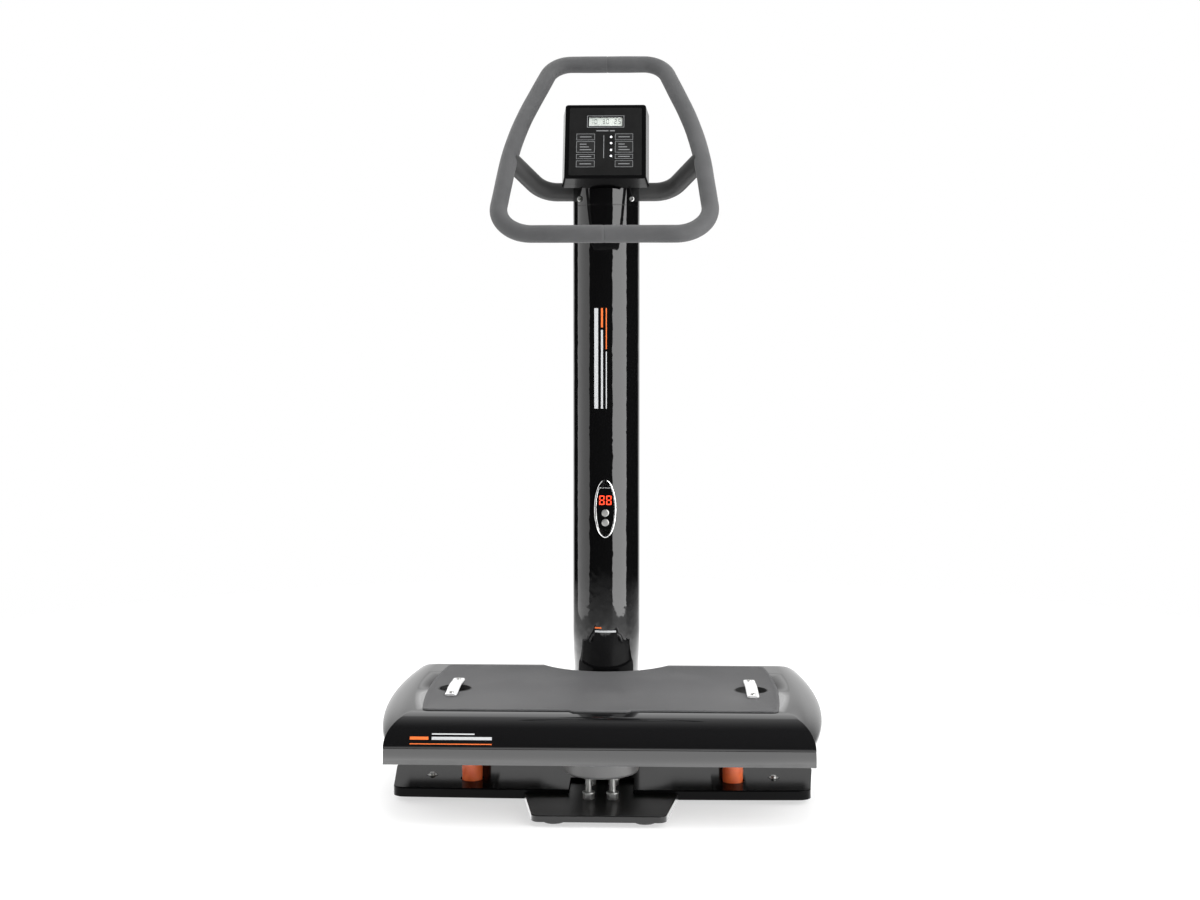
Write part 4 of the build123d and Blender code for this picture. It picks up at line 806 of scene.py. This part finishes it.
def inset(outline, amount, z):
    """The outline moved inwards by amount and put at height z."""
    moved = []
    count = len(outline)
    for i, point in enumerate(outline):
        along = (outline[(i + 1) % count] - outline[i - 1]).normalized()
        moved.append((point.x - along.y * amount, point.y + along.x * amount, z))
    return moved


def sorted_loop(edges, side, z):
    """The boundary vertices round one cup at height z, in order."""
    middle = Vector((side * CUP_X, back(CUP_AT), z))
    found = {vertex for edge in edges for vertex in edge.verts
             if abs(vertex.co.z - z) < SAME_PLACE and (vertex.co - middle).length < CUP_R + 1.0}
    return sorted(found, key=lambda vertex: math.atan2(vertex.co.y - middle.y, vertex.co.x - middle.x))


def make_mat():
    """Rubber mat with a rolled edge, a smooth rim and a textured field a little below it."""
    shape = bmesh.new()
    outline = mat_outline()
    field = MAT_TOP - MAT_SINK
    steps = [(0.0, MAT_BASE), (0.0, MAT_TOP - MAT_ROLL), (MAT_ROLL_IN, MAT_TOP - MAT_ROLL_DOWN),
             (MAT_ROLL, MAT_TOP), (MAT_RIM, MAT_TOP), (MAT_RIM + MAT_SLOPE, field)]
    made = loft(shape, [inset(outline, amount, z) for amount, z in steps], caps=False)
    for border, z in ((made[0], MAT_BASE), (made[-1], field)):
        fill_between(shape, [border] + cup_loops(shape, z, CUP_R + CUP_GAP))
    bmesh.ops.remove_doubles(shape, verts=shape.verts, dist=SAME_PLACE)
    walls = [edge for edge in shape.edges if edge.is_boundary]
    for side in (-1, 1):
        lower = sorted_loop(walls, side, MAT_BASE)
        upper = sorted_loop(walls, side, field)
        for i in range(len(lower)):
            j = (i + 1) % len(lower)
            shape.faces.new((lower[i], lower[j], upper[j], upper[i]))
    piece("mat_field", "deck", "mat_rubber", shape, sharp=60.0, replaces=("deck_mat",))


BAR_HALF_LENGTH = (STRAP_HIGH[1] - STRAP_LOW[1]) / MM / 2
BAR_HALF_WIDTH = half_mm(STRAP_HIGH[0] / MM - CUP_X)
BAR_THICK = 4.0
BAR_RISE = 3.0
BAR_CORNER = 5.0
BAR_EDGE = 0.9
BAR_END = 12.0                 # from a bar's end to its screw
BAR_STEPS = 60


def make_strap_bars():
    """Stainless bars with rounded ends, gently arched over the cups."""
    shape = bmesh.new()
    for side in (-1, 1):
        rings = []
        for i in range(BAR_STEPS + 1):
            along = -math.cos(math.pi * i / BAR_STEPS) * BAR_HALF_LENGTH
            past = max(0.0, abs(along) - (BAR_HALF_LENGTH - BAR_CORNER))
            half = BAR_HALF_WIDTH - BAR_CORNER + math.sqrt(max(0.0, BAR_CORNER ** 2 - past ** 2))
            flat = BAR_HALF_LENGTH - 2 * BAR_END
            arch = BAR_RISE * max(0.0, 1.0 - (along / flat) ** 2)
            base = MAT_TOP + arch
            face = base + BAR_THICK
            flank = half - BAR_EDGE
            ring = [(-flank, base), (flank, base), (half, base + BAR_EDGE), (half, face - BAR_EDGE),
                    (flank, face), (-flank, face), (-half, face - BAR_EDGE), (-half, base + BAR_EDGE)]
            rings.append([(side * CUP_X + x, back(CUP_AT) + along, z) for x, z in ring])
        loft(shape, rings)
    piece("strap_plates", "deck", "strap_steel", shape, sharp=30.0, bevel=0.35, replaces=("strap_bars",))


def make_cups():
    """Moulded bowls under the strap bars, with a rounded lip and floor."""
    shape = bmesh.new()
    depth = (CUPS_HIGH[2] - CUPS_LOW[2]) / MM
    wall = CUP_WALL
    profile = [(AXIS_R, -depth), (CUP_R - 5, -depth), (CUP_R - 1.5, -depth + 1.5), (CUP_R, -depth + 5),
               (CUP_R, -1.0), (CUP_R - 0.4, -0.3), (CUP_R - 1.2, 0.0), (CUP_R - wall, -0.4),
               (CUP_R - wall - 0.3, -2.0), (CUP_R - wall - 0.6, -depth + 7), (CUP_R - wall - 3, -depth + 3),
               (CUP_R - wall - 7, -depth + wall), (AXIS_R, -depth + wall)]
    for side in (-1, 1):
        lathe(shape, profile, (side * CUP_X, back(CUP_AT), MAT_TOP))
    piece("strap_bowls", "deck", "cup_black", shape, sharp=50.0, replaces=("strap_cups",))


HEAD_STEPS = 24
HEX_HALF = math.pi / 6
DOME_SHARES = ((1.0, 0.0), (1.0, 0.35), (0.93, 0.7), (0.8, 0.93), (0.68, 1.0))   # of radius and of height
SOCKET_SHARE = 0.48            # half the hexagon's width across flats, as a share of the head's radius
SOCKET_FLOOR_SHARE = 0.35


def socket_head(shape, centre, axis, sign, radius, height):
    """Domed screw head with a hexagon socket; it stands on centre and faces sign along axis."""
    rings = []
    for width_share, height_share in DOME_SHARES:
        rings.append([placed((x, y, sign * height * height_share), centre, axis)
                      for x, y in circle(radius * width_share, HEAD_STEPS)])
    for along in (height, height * SOCKET_FLOOR_SHARE):
        ring = []
        for i in range(HEAD_STEPS):
            angle = FULL_TURN * i / HEAD_STEPS
            within = (angle + HEX_HALF) % (2 * HEX_HALF) - HEX_HALF
            reach = radius * SOCKET_SHARE / math.cos(within)
            corner = (reach * math.cos(angle), reach * math.sin(angle), sign * along)
            ring.append(placed(corner, centre, axis))
        rings.append(ring)
    loft(shape, rings)


STRAP_HEAD_R = 4.75
STRAP_HEAD_RISE = 2.6


def make_strap_screws():
    shape = bmesh.new()
    for side in (-1, 1):
        for end in (-1, 1):
            y = back(CUP_AT) + end * (BAR_HALF_LENGTH - BAR_END)
            socket_head(shape, (side * CUP_X, y, MAT_TOP + BAR_THICK), "Z", 1, STRAP_HEAD_R, STRAP_HEAD_RISE)
    piece("strap_screw_heads", "deck", "zinc_steel", shape, sharp=40.0, replaces=("strap_screws",))


DAMPER_R = 20.0
DAMPER_BORE = 4.2
DAMPER_X = half_mm(DAMPER_HIGH[0] / MM - DAMPER_R)
DAMPER_ROWS = (half_mm(behind_lip(DAMPER_LOW[1]) + DAMPER_R), half_mm(behind_lip(DAMPER_HIGH[1]) - DAMPER_R))
DAMPER_STEPS = 14


def make_dampers():
    """Cast rubber buffers: rounded shoulders, a slight barrel and a mould line at mid height."""
    shape = bmesh.new()
    low, high = DAMPER_LOW[2] / MM, DAMPER_HIGH[2] / MM
    shoulder = [(DAMPER_BORE, 0.0), (DAMPER_R - 2.5, 0.0), (DAMPER_R - 1.0, 0.6), (DAMPER_R - 0.4, 2.0)]
    profile = [(radius, low + up) for radius, up in shoulder]
    for i in range(1, DAMPER_STEPS):
        share = i / DAMPER_STEPS
        z = low + 2.0 + (high - low - 4.0) * share
        ridge = 0.25 if i == DAMPER_STEPS // 2 else 0.0
        profile.append((DAMPER_R - 0.4 + 0.15 * math.sin(math.pi * share) + ridge, z))
    profile += [(radius, high - up) for radius, up in reversed(shoulder)]
    for side in (-1, 1):
        for row in DAMPER_ROWS:
            lathe(shape, profile, (side * DAMPER_X, back(row), 0.0), steps=64, closed_profile=True)
    made = piece("damper_rubbers", None, "damper_orange", shape, sharp=50.0, replaces=("dampers",))
    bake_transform(made)


make_deck_skin()
make_mat()
make_strap_bars()
make_cups()
make_strap_screws()
make_dampers()

# ---- handlebar -----------------------------------------------------------------------------------

FOAM_R = 17.8
LOOP_BEND_R = (70.0, 900.0, 55.0)
LOOP_FRONT = 300.0
LOOP_BOTTOM = 1096.0
LOOP_RUN = 320.0
LOOP_RISE = 387.5
LOOP_LENGTH = math.hypot(LOOP_RUN, LOOP_RISE)
LOOP_HALVES = ((220.5, 0.0), (194.0, 277.0), (117.5, LOOP_LENGTH))     # half width at a height up the slope
FOAM_STEP = 5.0
JOINT_WIDTH = 1.6
JOINT_DEPTH = 0.7
SEAM_RIDGE = 0.22


def on_slope(point):
    """Point of the loop's tilted plane as a point in space."""
    share = point.y / LOOP_LENGTH
    return Vector((point.x, back(LOOP_FRONT + LOOP_RUN * share), LOOP_BOTTOM + LOOP_RISE * share))


def make_foam():
    """Foam sleeve: butt joints at the middle of both bars, a mould seam and a slightly uneven skin."""
    (bottom, low), (knee, mid), (top, high) = LOOP_HALVES
    corners = [(-bottom, low, 0), (bottom, low, 0), (knee, mid, 0),
               (top, high, 0), (-top, high, 0), (-knee, mid, 0)]
    bottom_r, knee_r, top_r = LOOP_BEND_R
    path = rounded_path(corners, [bottom_r, bottom_r, knee_r, top_r, top_r, knee_r], FOAM_STEP)
    middles = [i for i, p in enumerate(path) if abs(p.x) < FOAM_STEP / 2 + 0.01]
    joints = []
    for bar in (low, high):
        near = min(middles, key=lambda i: abs(path[i].y - bar) + abs(path[i].x) * 0.01)
        joints.append(path[near].copy())
    dense = []
    for point in path:
        dense.append(point)
        if any((point - joint).length < 0.01 for joint in joints):
            toward = 1.0 if point.y < LOOP_LENGTH / 2 else -1.0
            for shift in (0.35, 0.7, 1.05, JOINT_WIDTH, JOINT_WIDTH + 1.2):
                dense.append(point + Vector((toward * shift, 0, 0)))
    spots = [on_slope(joint) for joint in joints]
    space = [on_slope(point) for point in dense]
    lengths = [0.0]
    for a, b in zip(space, space[1:]):
        lengths.append(lengths[-1] + (b - a).length)
    groove_at = [lengths[min(range(len(space)), key=lambda i: (space[i] - spot).length)] for spot in spots]

    def radius_at(along, angle):
        radius = FOAM_R + 0.10 * math.sin(along * 0.031) + 0.08 * math.sin(along * 0.083 + 2.0 * angle)
        for start in groove_at:
            middle = start + JOINT_WIDTH / 2
            radius -= JOINT_DEPTH * max(0.0, 1.0 - abs(along - middle) / (JOINT_WIDTH / 2 + 0.4))
        seam = abs(angle - math.pi / 2)
        return radius + SEAM_RIDGE * max(0.0, 1.0 - seam / 0.10)

    shape = bmesh.new()
    tube(shape, space, radius_at, steps=64)
    piece("foam_sleeve", "stand", "foam_grey", shape, sharp=70.0, replaces=("handlebar_foam",))


# ---- exciter studs and nuts ----------------------------------------------------------------------

STUD_R = 6.0
STUD_X = half_mm(STUDS_HIGH[0] / MM - STUD_R)
STUD_ROWS = (half_mm(behind_lip(STUDS_LOW[1]) + STUD_R), half_mm(behind_lip(STUDS_HIGH[1]) - STUD_R))
THREAD_PITCH = 1.75
THREAD_DEPTH = 0.9
STUD_CHAMFER = 1.2


def make_exciter_studs():
    """Threaded studs under the exciter: a ridge every pitch, with chamfered tips."""
    low, high = STUDS_LOW[2] / MM, STUDS_HIGH[2] / MM
    shape = bmesh.new()
    profile = [(AXIS_R, low), (STUD_R - STUD_CHAMFER, low)]
    z = low + 1.0
    while z < high - THREAD_PITCH:
        profile += [(STUD_R, z), (STUD_R - THREAD_DEPTH, z + THREAD_PITCH / 2)]
        z += THREAD_PITCH
    profile += [(STUD_R, z), (STUD_R - STUD_CHAMFER, high), (AXIS_R, high)]
    for side in (-1, 1):
        for row in STUD_ROWS:
            lathe(shape, profile, (side * STUD_X, back(row), 0.0), steps=24)
    piece("threaded_studs", "stand", "zinc_steel", shape, sharp=20.0, replaces=("exciter_studs",))


# ---- transport wheels ----------------------------------------------------------------------------

WHEEL_TREADS = 5
HUB_R = 10.0
WHEEL_BORE = 5.05
WHEEL_EDGE = 3.0               # plain tyre between the grooves and each face


def make_wheel(name, node, body):
    """Rubber tyre with grooves round it and a dished face with a hub."""
    low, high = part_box(node)
    centre = tuple((low[k] + high[k]) / 2 / MM for k in range(3))
    radius = (high[2] - low[2]) / MM / 2
    half = (high[0] - low[0]) / MM / 2
    face = [(WHEEL_BORE, half), (HUB_R - 0.8, half), (HUB_R, half - 0.8), (HUB_R, half - 4),
            (radius - 8, half - 4), (radius - 7, half - 3), (radius - 6.4, half), (radius - 3, half),
            (radius - 1, half - 1)]
    profile = [(r, -along) for r, along in face]
    groove = 2 * (half - WHEEL_EDGE) / WHEEL_TREADS
    for i in range(WHEEL_TREADS):
        start = -half + WHEEL_EDGE + i * groove
        profile += [(radius, start), (radius, start + groove * 0.62), (radius - 1.0, start + groove * 0.72),
                    (radius - 1.0, start + groove * 0.9)]
    shape = bmesh.new()
    lathe(shape, profile + face[::-1], centre, "X", steps=72, closed_profile=True)
    piece(name, body, "wheel_rubber", shape, sharp=30.0, bevel=0.25, replaces=(node,))


# ---- column screws -------------------------------------------------------------------------------

SCREW_HEAD_R = 5.7
SCREW_HEAD_RISE = 3.0
HEAD_SCREW_X = half_mm(SCREWS_HIGH[0] / MM - SCREW_HEAD_R)
HEAD_SCREW_Z = half_mm(SCREWS_HIGH[2] / MM - SCREW_HEAD_R)
SERVICE_SCREW_X = 38.0
SERVICE_FIRST = half_mm(SCREWS_LOW[2] / MM + SCREW_HEAD_R)
SERVICE_STEP = 150.0
SERVICE_ROWS = 3


def make_column_screws():
    """Socket screws: two at the front of the head and six round the service cover."""
    front = SCREWS_LOW[1] / MM + SCREW_HEAD_RISE
    rear = SCREWS_HIGH[1] / MM - SCREW_HEAD_RISE
    shape = bmesh.new()
    for side in (-1, 1):
        socket_head(shape, (side * HEAD_SCREW_X, front, HEAD_SCREW_Z), "Y", -1, SCREW_HEAD_R, SCREW_HEAD_RISE)
        for i in range(SERVICE_ROWS):
            socket_head(shape, (side * SERVICE_SCREW_X, rear, SERVICE_FIRST + i * SERVICE_STEP), "Y", 1,
                        SCREW_HEAD_R, SCREW_HEAD_RISE)
    piece("column_socket_screws", "stand", "zinc_steel", shape, sharp=40.0, replaces=("column_screws",))


# ---- printed marks -------------------------------------------------------------------------------

CONSOLE_FRONT = 400.0
CONSOLE_BOTTOM = 1215.0
CONSOLE_TILT = math.radians(22.7)
OVERLAY_FACE = 0.8
KEY_FACE = 1.3
PRINT_THICK = 0.12
KEY_SIDES = ((-60.0, -22.0), (20.0, 57.0))
KEY_ROWS = ((26.0, 41.0), (45.0, 56.0), (60.0, 86.0), (89.0, 104.0))
LCD_UP = 133.0
LCD_W = 69.0
LCD_H = 21.0
LCD_PRINT_FACE = 0.62
LCD_FRAME_GAP = (4.0, 3.5)     # from the display to the frame printed round it, across and up
LCD_FRAME_LINE = 1.0
KEY_LINE = 0.8
CAPTION_ROOM = 20.0            # a key taller than this has three caption bars
CAPTION_STEP = 6.5
CAPTION_HALF = 0.9
CAPTION_MARGIN = 7.0
CAPTION_SHORTER = 5.0          # each bar is this much shorter than the one below it
PLAIN_BARS = ((-19.0, 6.0, 110.0, 112.2), (9.0, 19.0, 110.0, 112.2), (-4.0, -2.8, 47.0, 101.0))


def console_point(x, up, out):
    """Point on the console's face in space: up the face and out from it."""
    y = back(CONSOLE_FRONT) + up * math.sin(CONSOLE_TILT) - out * math.cos(CONSOLE_TILT)
    z = CONSOLE_BOTTOM + up * math.cos(CONSOLE_TILT) + out * math.sin(CONSOLE_TILT)
    return (x, y, z)


def console_bar(shape, x_low, x_high, up_low, up_high, face):
    """Thin printed rectangle lying on the console at the given height above its face."""
    loft(shape, [[console_point(x, up, out) for x, up in
                  ((x_low, up_low), (x_high, up_low), (x_high, up_high), (x_low, up_high))]
                 for out in (face, face + PRINT_THICK)])


def console_frame(shape, x_low, x_high, up_low, up_high, line, face):
    """Printed outline of a rectangle."""
    console_bar(shape, x_low, x_high, up_low, up_low + line, face)
    console_bar(shape, x_low, x_high, up_high - line, up_high, face)
    console_bar(shape, x_low, x_low + line, up_low + line, up_high - line, face)
    console_bar(shape, x_high - line, x_high, up_low + line, up_high - line, face)


def make_console_print():
    """Outlined keys with plain bars for their captions, a frame round the display and a plain stripe."""
    shape = bmesh.new()
    for x_low, x_high in KEY_SIDES:
        for up_low, up_high in KEY_ROWS:
            console_frame(shape, x_low, x_high, up_low, up_high, KEY_LINE, KEY_FACE)
            middle = (up_low + up_high) / 2
            lines = 3 if up_high - up_low > CAPTION_ROOM else 1
            for i in range(lines):
                up = middle + (i - (lines - 1) / 2) * CAPTION_STEP
                right = x_high - CAPTION_MARGIN - CAPTION_SHORTER * i
                low, high = up - CAPTION_HALF, up + CAPTION_HALF
                console_bar(shape, x_low + CAPTION_MARGIN, right, low, high, KEY_FACE)
    half_w, half_h = LCD_W / 2 + LCD_FRAME_GAP[0], LCD_H / 2 + LCD_FRAME_GAP[1]
    console_frame(shape, -half_w, half_w, LCD_UP - half_h, LCD_UP + half_h, LCD_FRAME_LINE, OVERLAY_FACE)
    for x_low, x_high, up_low, up_high in PLAIN_BARS:
        console_bar(shape, x_low, x_high, up_low, up_high, OVERLAY_FACE)
    piece("console_print", "stand", "key_grey", shape, paint="print_light")


DIGIT_SEGMENTS = {
    "top": (0.18, 0.82, 0.88, 1.0), "middle": (0.18, 0.82, 0.44, 0.56), "bottom": (0.18, 0.82, 0.0, 0.12),
    "upper_left": (0.0, 0.16, 0.56, 0.96), "upper_right": (0.84, 1.0, 0.56, 0.96),
    "lower_left": (0.0, 0.16, 0.04, 0.44), "lower_right": (0.84, 1.0, 0.04, 0.44),
}
DIGIT_SHAPES = {
    "0": ("top", "bottom", "upper_left", "upper_right", "lower_left", "lower_right"),
    "1": ("upper_right", "lower_right"),
    "2": ("top", "upper_right", "middle", "lower_left", "bottom"),
    "3": ("top", "upper_right", "middle", "lower_right", "bottom"),
    "5": ("top", "upper_left", "middle", "lower_right", "bottom"),
}


def make_lcd_digits():
    """Dark segments showing a plain time and level on the pale display."""
    shape = bmesh.new()
    width, height, gap = 5.4, 11.0, 8.2
    text = "10 30 25"
    left = -(len(text) * gap - (gap - width)) / 2
    for i, figure in enumerate(text):
        for name in DIGIT_SHAPES.get(figure, ()):
            x0, x1, u0, u1 = DIGIT_SEGMENTS[name]
            x = left + i * gap
            up = LCD_UP - height / 2
            console_bar(shape, x + x0 * width, x + x1 * width, up + u0 * height, up + u1 * height,
                        LCD_PRINT_FACE)
    piece("lcd_digits", "stand", "overlay_black", shape, paint="lcd_ink")


STICKER_BACK = 0.02
STICKER_FACE = 0.18
STRIPE_LEFT = -345.0


def on_deck_front(x, z, proud):
    """Point on the deck's front surface."""
    return (x, back(front_inset(z)) - proud, z)


def deck_stripe(shape, x_low, x_high, z_low, z_high, steps=12):
    """Thin sticker that follows the deck's curved front."""
    rings = []
    for i in range(steps + 1):
        z = z_low + (z_high - z_low) * i / steps
        rings.append([on_deck_front(x_low, z, STICKER_BACK), on_deck_front(x_low, z, STICKER_FACE),
                      on_deck_front(x_high, z, STICKER_FACE), on_deck_front(x_high, z, STICKER_BACK)])
    loft(shape, rings)


def make_deck_badge():
    """Plain silver and orange stripes on the left of the deck's front."""
    silver = ((40.0, 150.0, 158.0, 163.0), (40.0, 118.0, 166.5, 168.5))
    orange = ((0.0, 34.0, 158.0, 163.0), (0.0, 150.0, 150.0, 151.6))
    for name, slot, paint, stripes in (("deck_stripe_silver", "strap_steel", "print_silver", silver),
                                       ("deck_stripe_orange", "damper_orange", "print_orange", orange)):
        shape = bmesh.new()
        for start, end, z_low, z_high in stripes:
            deck_stripe(shape, STRIPE_LEFT + start, STRIPE_LEFT + end, z_low, z_high)
        piece(name, "deck", slot, shape, paint=paint)


COLUMN_HALF = (COLUMN_HIGH[0] - COLUMN_LOW[0]) / MM / 2
COLUMN_FRONT = behind_lip(COLUMN_LOW[1])
COLUMN_ROUND = 80.0


def on_column(x, z, proud):
    """Point on the column's front surface."""
    depth = COLUMN_ROUND * (1.0 - math.sqrt(1.0 - (x / COLUMN_HALF) ** 2))
    return (x, back(COLUMN_FRONT + depth) - proud, z)


def column_stripe(shape, x_low, x_high, z_low, z_high, steps=8):
    """Thin sticker that follows the column's curved front."""
    rings = []
    for i in range(steps + 1):
        x = x_low + (x_high - x_low) * i / steps
        rings.append([on_column(x, z_low, STICKER_BACK), on_column(x, z_high, STICKER_BACK),
                      on_column(x, z_high, STICKER_FACE), on_column(x, z_low, STICKER_FACE)])
    loft(shape, rings)


def make_column_badge():
    """Plain upright stripes on the column, and a short one at its foot."""
    silver = ((-23.0, -15.0, 742.0, 950.0), (-9.0, -5.0, 742.0, 905.0), (1.0, 3.0, 742.0, 860.0),
              (-22.0, 22.0, 276.0, 280.0))
    orange = ((-9.0, -5.0, 910.0, 950.0), (1.0, 3.0, 865.0, 950.0), (-22.0, -8.0, 284.0, 287.0))
    for name, slot, paint, stripes in (("column_stripe_silver", "strap_steel", "print_silver", silver),
                                       ("column_stripe_orange", "damper_orange", "print_orange", orange)):
        shape = bmesh.new()
        for x_low, x_high, z_low, z_high in stripes:
            column_stripe(shape, x_low, x_high, z_low, z_high)
        piece(name, "stand", slot, shape, paint=paint)


make_foam()
make_exciter_studs()
make_wheel("wheel_tyre_left", "wheel_left", "left_wheel")
make_wheel("wheel_tyre_right", "wheel_right", "right_wheel")
make_column_screws()
make_console_print()
make_lcd_digits()
make_deck_badge()
make_column_badge()

# ---- studio --------------------------------------------------------------------------------------

CAMERA_X = 0.094
CAMERA_DISTANCE = 2.8985       # in front of the deck's lip
CAMERA_HEIGHT = 0.907
CAMERA_PITCH = math.radians(1.30)
CAMERA_SHIFT = -0.0705         # the rest of the downward view, so that uprights stay nearly parallel
CAMERA_PAN = math.radians(1.81)
CAMERA_LENS = 48.2


def make_camera():
    data = bpy.data.cameras.new("camera")
    data.sensor_width = 36.0
    data.lens = CAMERA_LENS
    data.shift_y = CAMERA_SHIFT
    camera = bpy.data.objects.new("camera", data)
    bpy.context.scene.collection.objects.link(camera)
    camera.location = (CAMERA_X, FRONT_Y - CAMERA_DISTANCE, CAMERA_HEIGHT)
    camera.rotation_euler = (math.radians(90) - CAMERA_PITCH, 0.0, CAMERA_PAN)
    bpy.context.scene.camera = camera


FLOOR_R = 10.0
FLOOR_FADE = (1.0, 2.6)        # between these distances the floor gives way to the white backdrop
FLOOR_BRIGHT = (1.1, 1.6)      # and between these its mirrored glow ends
FLOOR_GLOW = 0.55              # keeps the machine's shadow faint
FLOOR_MIRRORED = 2.3           # the floor is brighter as the glossy deck mirrors it


def make_floor():
    """A wide pale disc."""
    data = bpy.data.meshes.new("floor")
    shape = bmesh.new()
    bmesh.ops.create_circle(shape, cap_ends=True, segments=96, radius=FLOOR_R)
    shape.to_mesh(data)
    shape.free()
    floor = bpy.data.objects.new("floor", data)
    bpy.context.scene.collection.objects.link(floor)
    paint = Paint("floor")
    tone = paint.noise(1.5, 3.0)
    out = paint.node("ShaderNodeVectorMath", operation="LENGTH")
    paint.feed(out.inputs[0], paint.space)
    share = paint.math("DIVIDE", out.outputs["Value"], FLOOR_R)
    near = paint.ramp(share, FLOOR_MIRRORED, 0.0, *(distance / FLOOR_R for distance in FLOOR_BRIGHT))
    glow = paint.math("MULTIPLY", paint.node("ShaderNodeLightPath").outputs["Is Glossy Ray"], near)
    glow = paint.math("ADD", glow, FLOOR_GLOW)
    paint.set(
        Base_Color=paint.ramp(tone, grey(0.40), grey(0.43)),
        Roughness=0.6,
        Emission_Color=(1.0, 1.0, 1.0),
        Emission_Strength=glow,
        Alpha=paint.ramp(share, 1.0, 0.0, *(distance / FLOOR_R for distance in FLOOR_FADE)),
    )
    floor.data.materials.append(paint.material)


SIDE_LIGHT_Z = 1.2             # height of the lights at the sides, which face the column squarely


def softbox(name, azimuth, distance, height, size, power, lights=True, mirrored=True):
    """Area light facing the machine. Azimuth 0 is the user's side, positive to the right. It can be kept
    from lighting matt surfaces, or from being mirrored in glossy ones."""
    data = bpy.data.lights.new(name, "AREA")
    data.shape = "RECTANGLE"
    data.size, data.size_y = size
    data.energy = power
    light = bpy.data.objects.new(name, data)
    bpy.context.scene.collection.objects.link(light)
    angle = math.radians(azimuth)
    light.location = (distance * math.sin(angle), -distance * math.cos(angle), height)
    aim = Vector((0.0, 0.0, min(height, SIDE_LIGHT_Z))) - light.location
    light.rotation_euler = aim.to_track_quat("-Z", "Y").to_euler()
    light.visible_diffuse = lights
    light.visible_glossy = mirrored


def make_world():
    """White backdrop for the camera and soft fill, but a dark room in reflections."""
    world = bpy.data.worlds.new("studio")
    bpy.context.scene.world = world
    world.use_nodes = True
    tree = world.node_tree
    background = tree.nodes["Background"]
    direction = tree.nodes.new("ShaderNodeTexCoord").outputs["Generated"]
    parts = tree.nodes.new("ShaderNodeSeparateXYZ")
    tree.links.new(direction, parts.inputs[0])

    def smooth_step(value, start, end, low, high):
        step = tree.nodes.new("ShaderNodeMapRange")
        step.interpolation_type = "SMOOTHSTEP"
        for key, number in (("From Min", start), ("From Max", end), ("To Min", low), ("To Max", high)):
            step.inputs[key].default_value = number
        tree.links.new(value, step.inputs["Value"])
        return step.outputs["Result"]

    def combined(operation, first, second):
        made = tree.nodes.new("ShaderNodeMath")
        made.operation = operation
        tree.links.new(first, made.inputs[0])
        tree.links.new(second, made.inputs[1])
        return made.outputs["Value"]

    backdrop = smooth_step(parts.outputs["Y"], 0.80, 0.95, 0.0, 1.0)
    below_ceiling = smooth_step(parts.outputs["Z"], 0.16, 0.42, 1.0, 0.0)
    wall = combined("MULTIPLY", backdrop, below_ceiling)
    ceiling = combined("MULTIPLY", smooth_step(parts.outputs["Y"], -0.35, 0.95, 0.0, 1.3),
                       smooth_step(parts.outputs["Z"], 0.12, 0.35, 0.0, 1.0))
    mirrored = combined("MAXIMUM", wall, ceiling)
    path = tree.nodes.new("ShaderNodeLightPath")
    choose = tree.nodes.new("ShaderNodeMix")
    choose.data_type = "FLOAT"
    tree.links.new(path.outputs["Is Glossy Ray"], choose.inputs["Factor"])
    choose.inputs["A"].default_value = 1.0
    tree.links.new(mirrored, choose.inputs["B"])
    tree.links.new(choose.outputs["Result"], background.inputs["Color"])
    background.inputs["Strength"].default_value = 1.0


make_camera()
make_floor()
make_world()
softbox("key_right", 56.0, 1.7, SIDE_LIGHT_Z, (1.83, 2.4), 45.0)
softbox("fill_left", -95.0, 1.7, SIDE_LIGHT_Z, (1.8, 2.4), 24.0)
softbox("overhead", 0.0, 0.01, 3.4, (2.6, 2.6), 60.0, mirrored=False)
softbox("edge_right", 56.0, 1.69, SIDE_LIGHT_Z, (1.83, 2.4), 30.0, lights=False)

bpy.context.scene.view_settings.view_transform = "Standard"
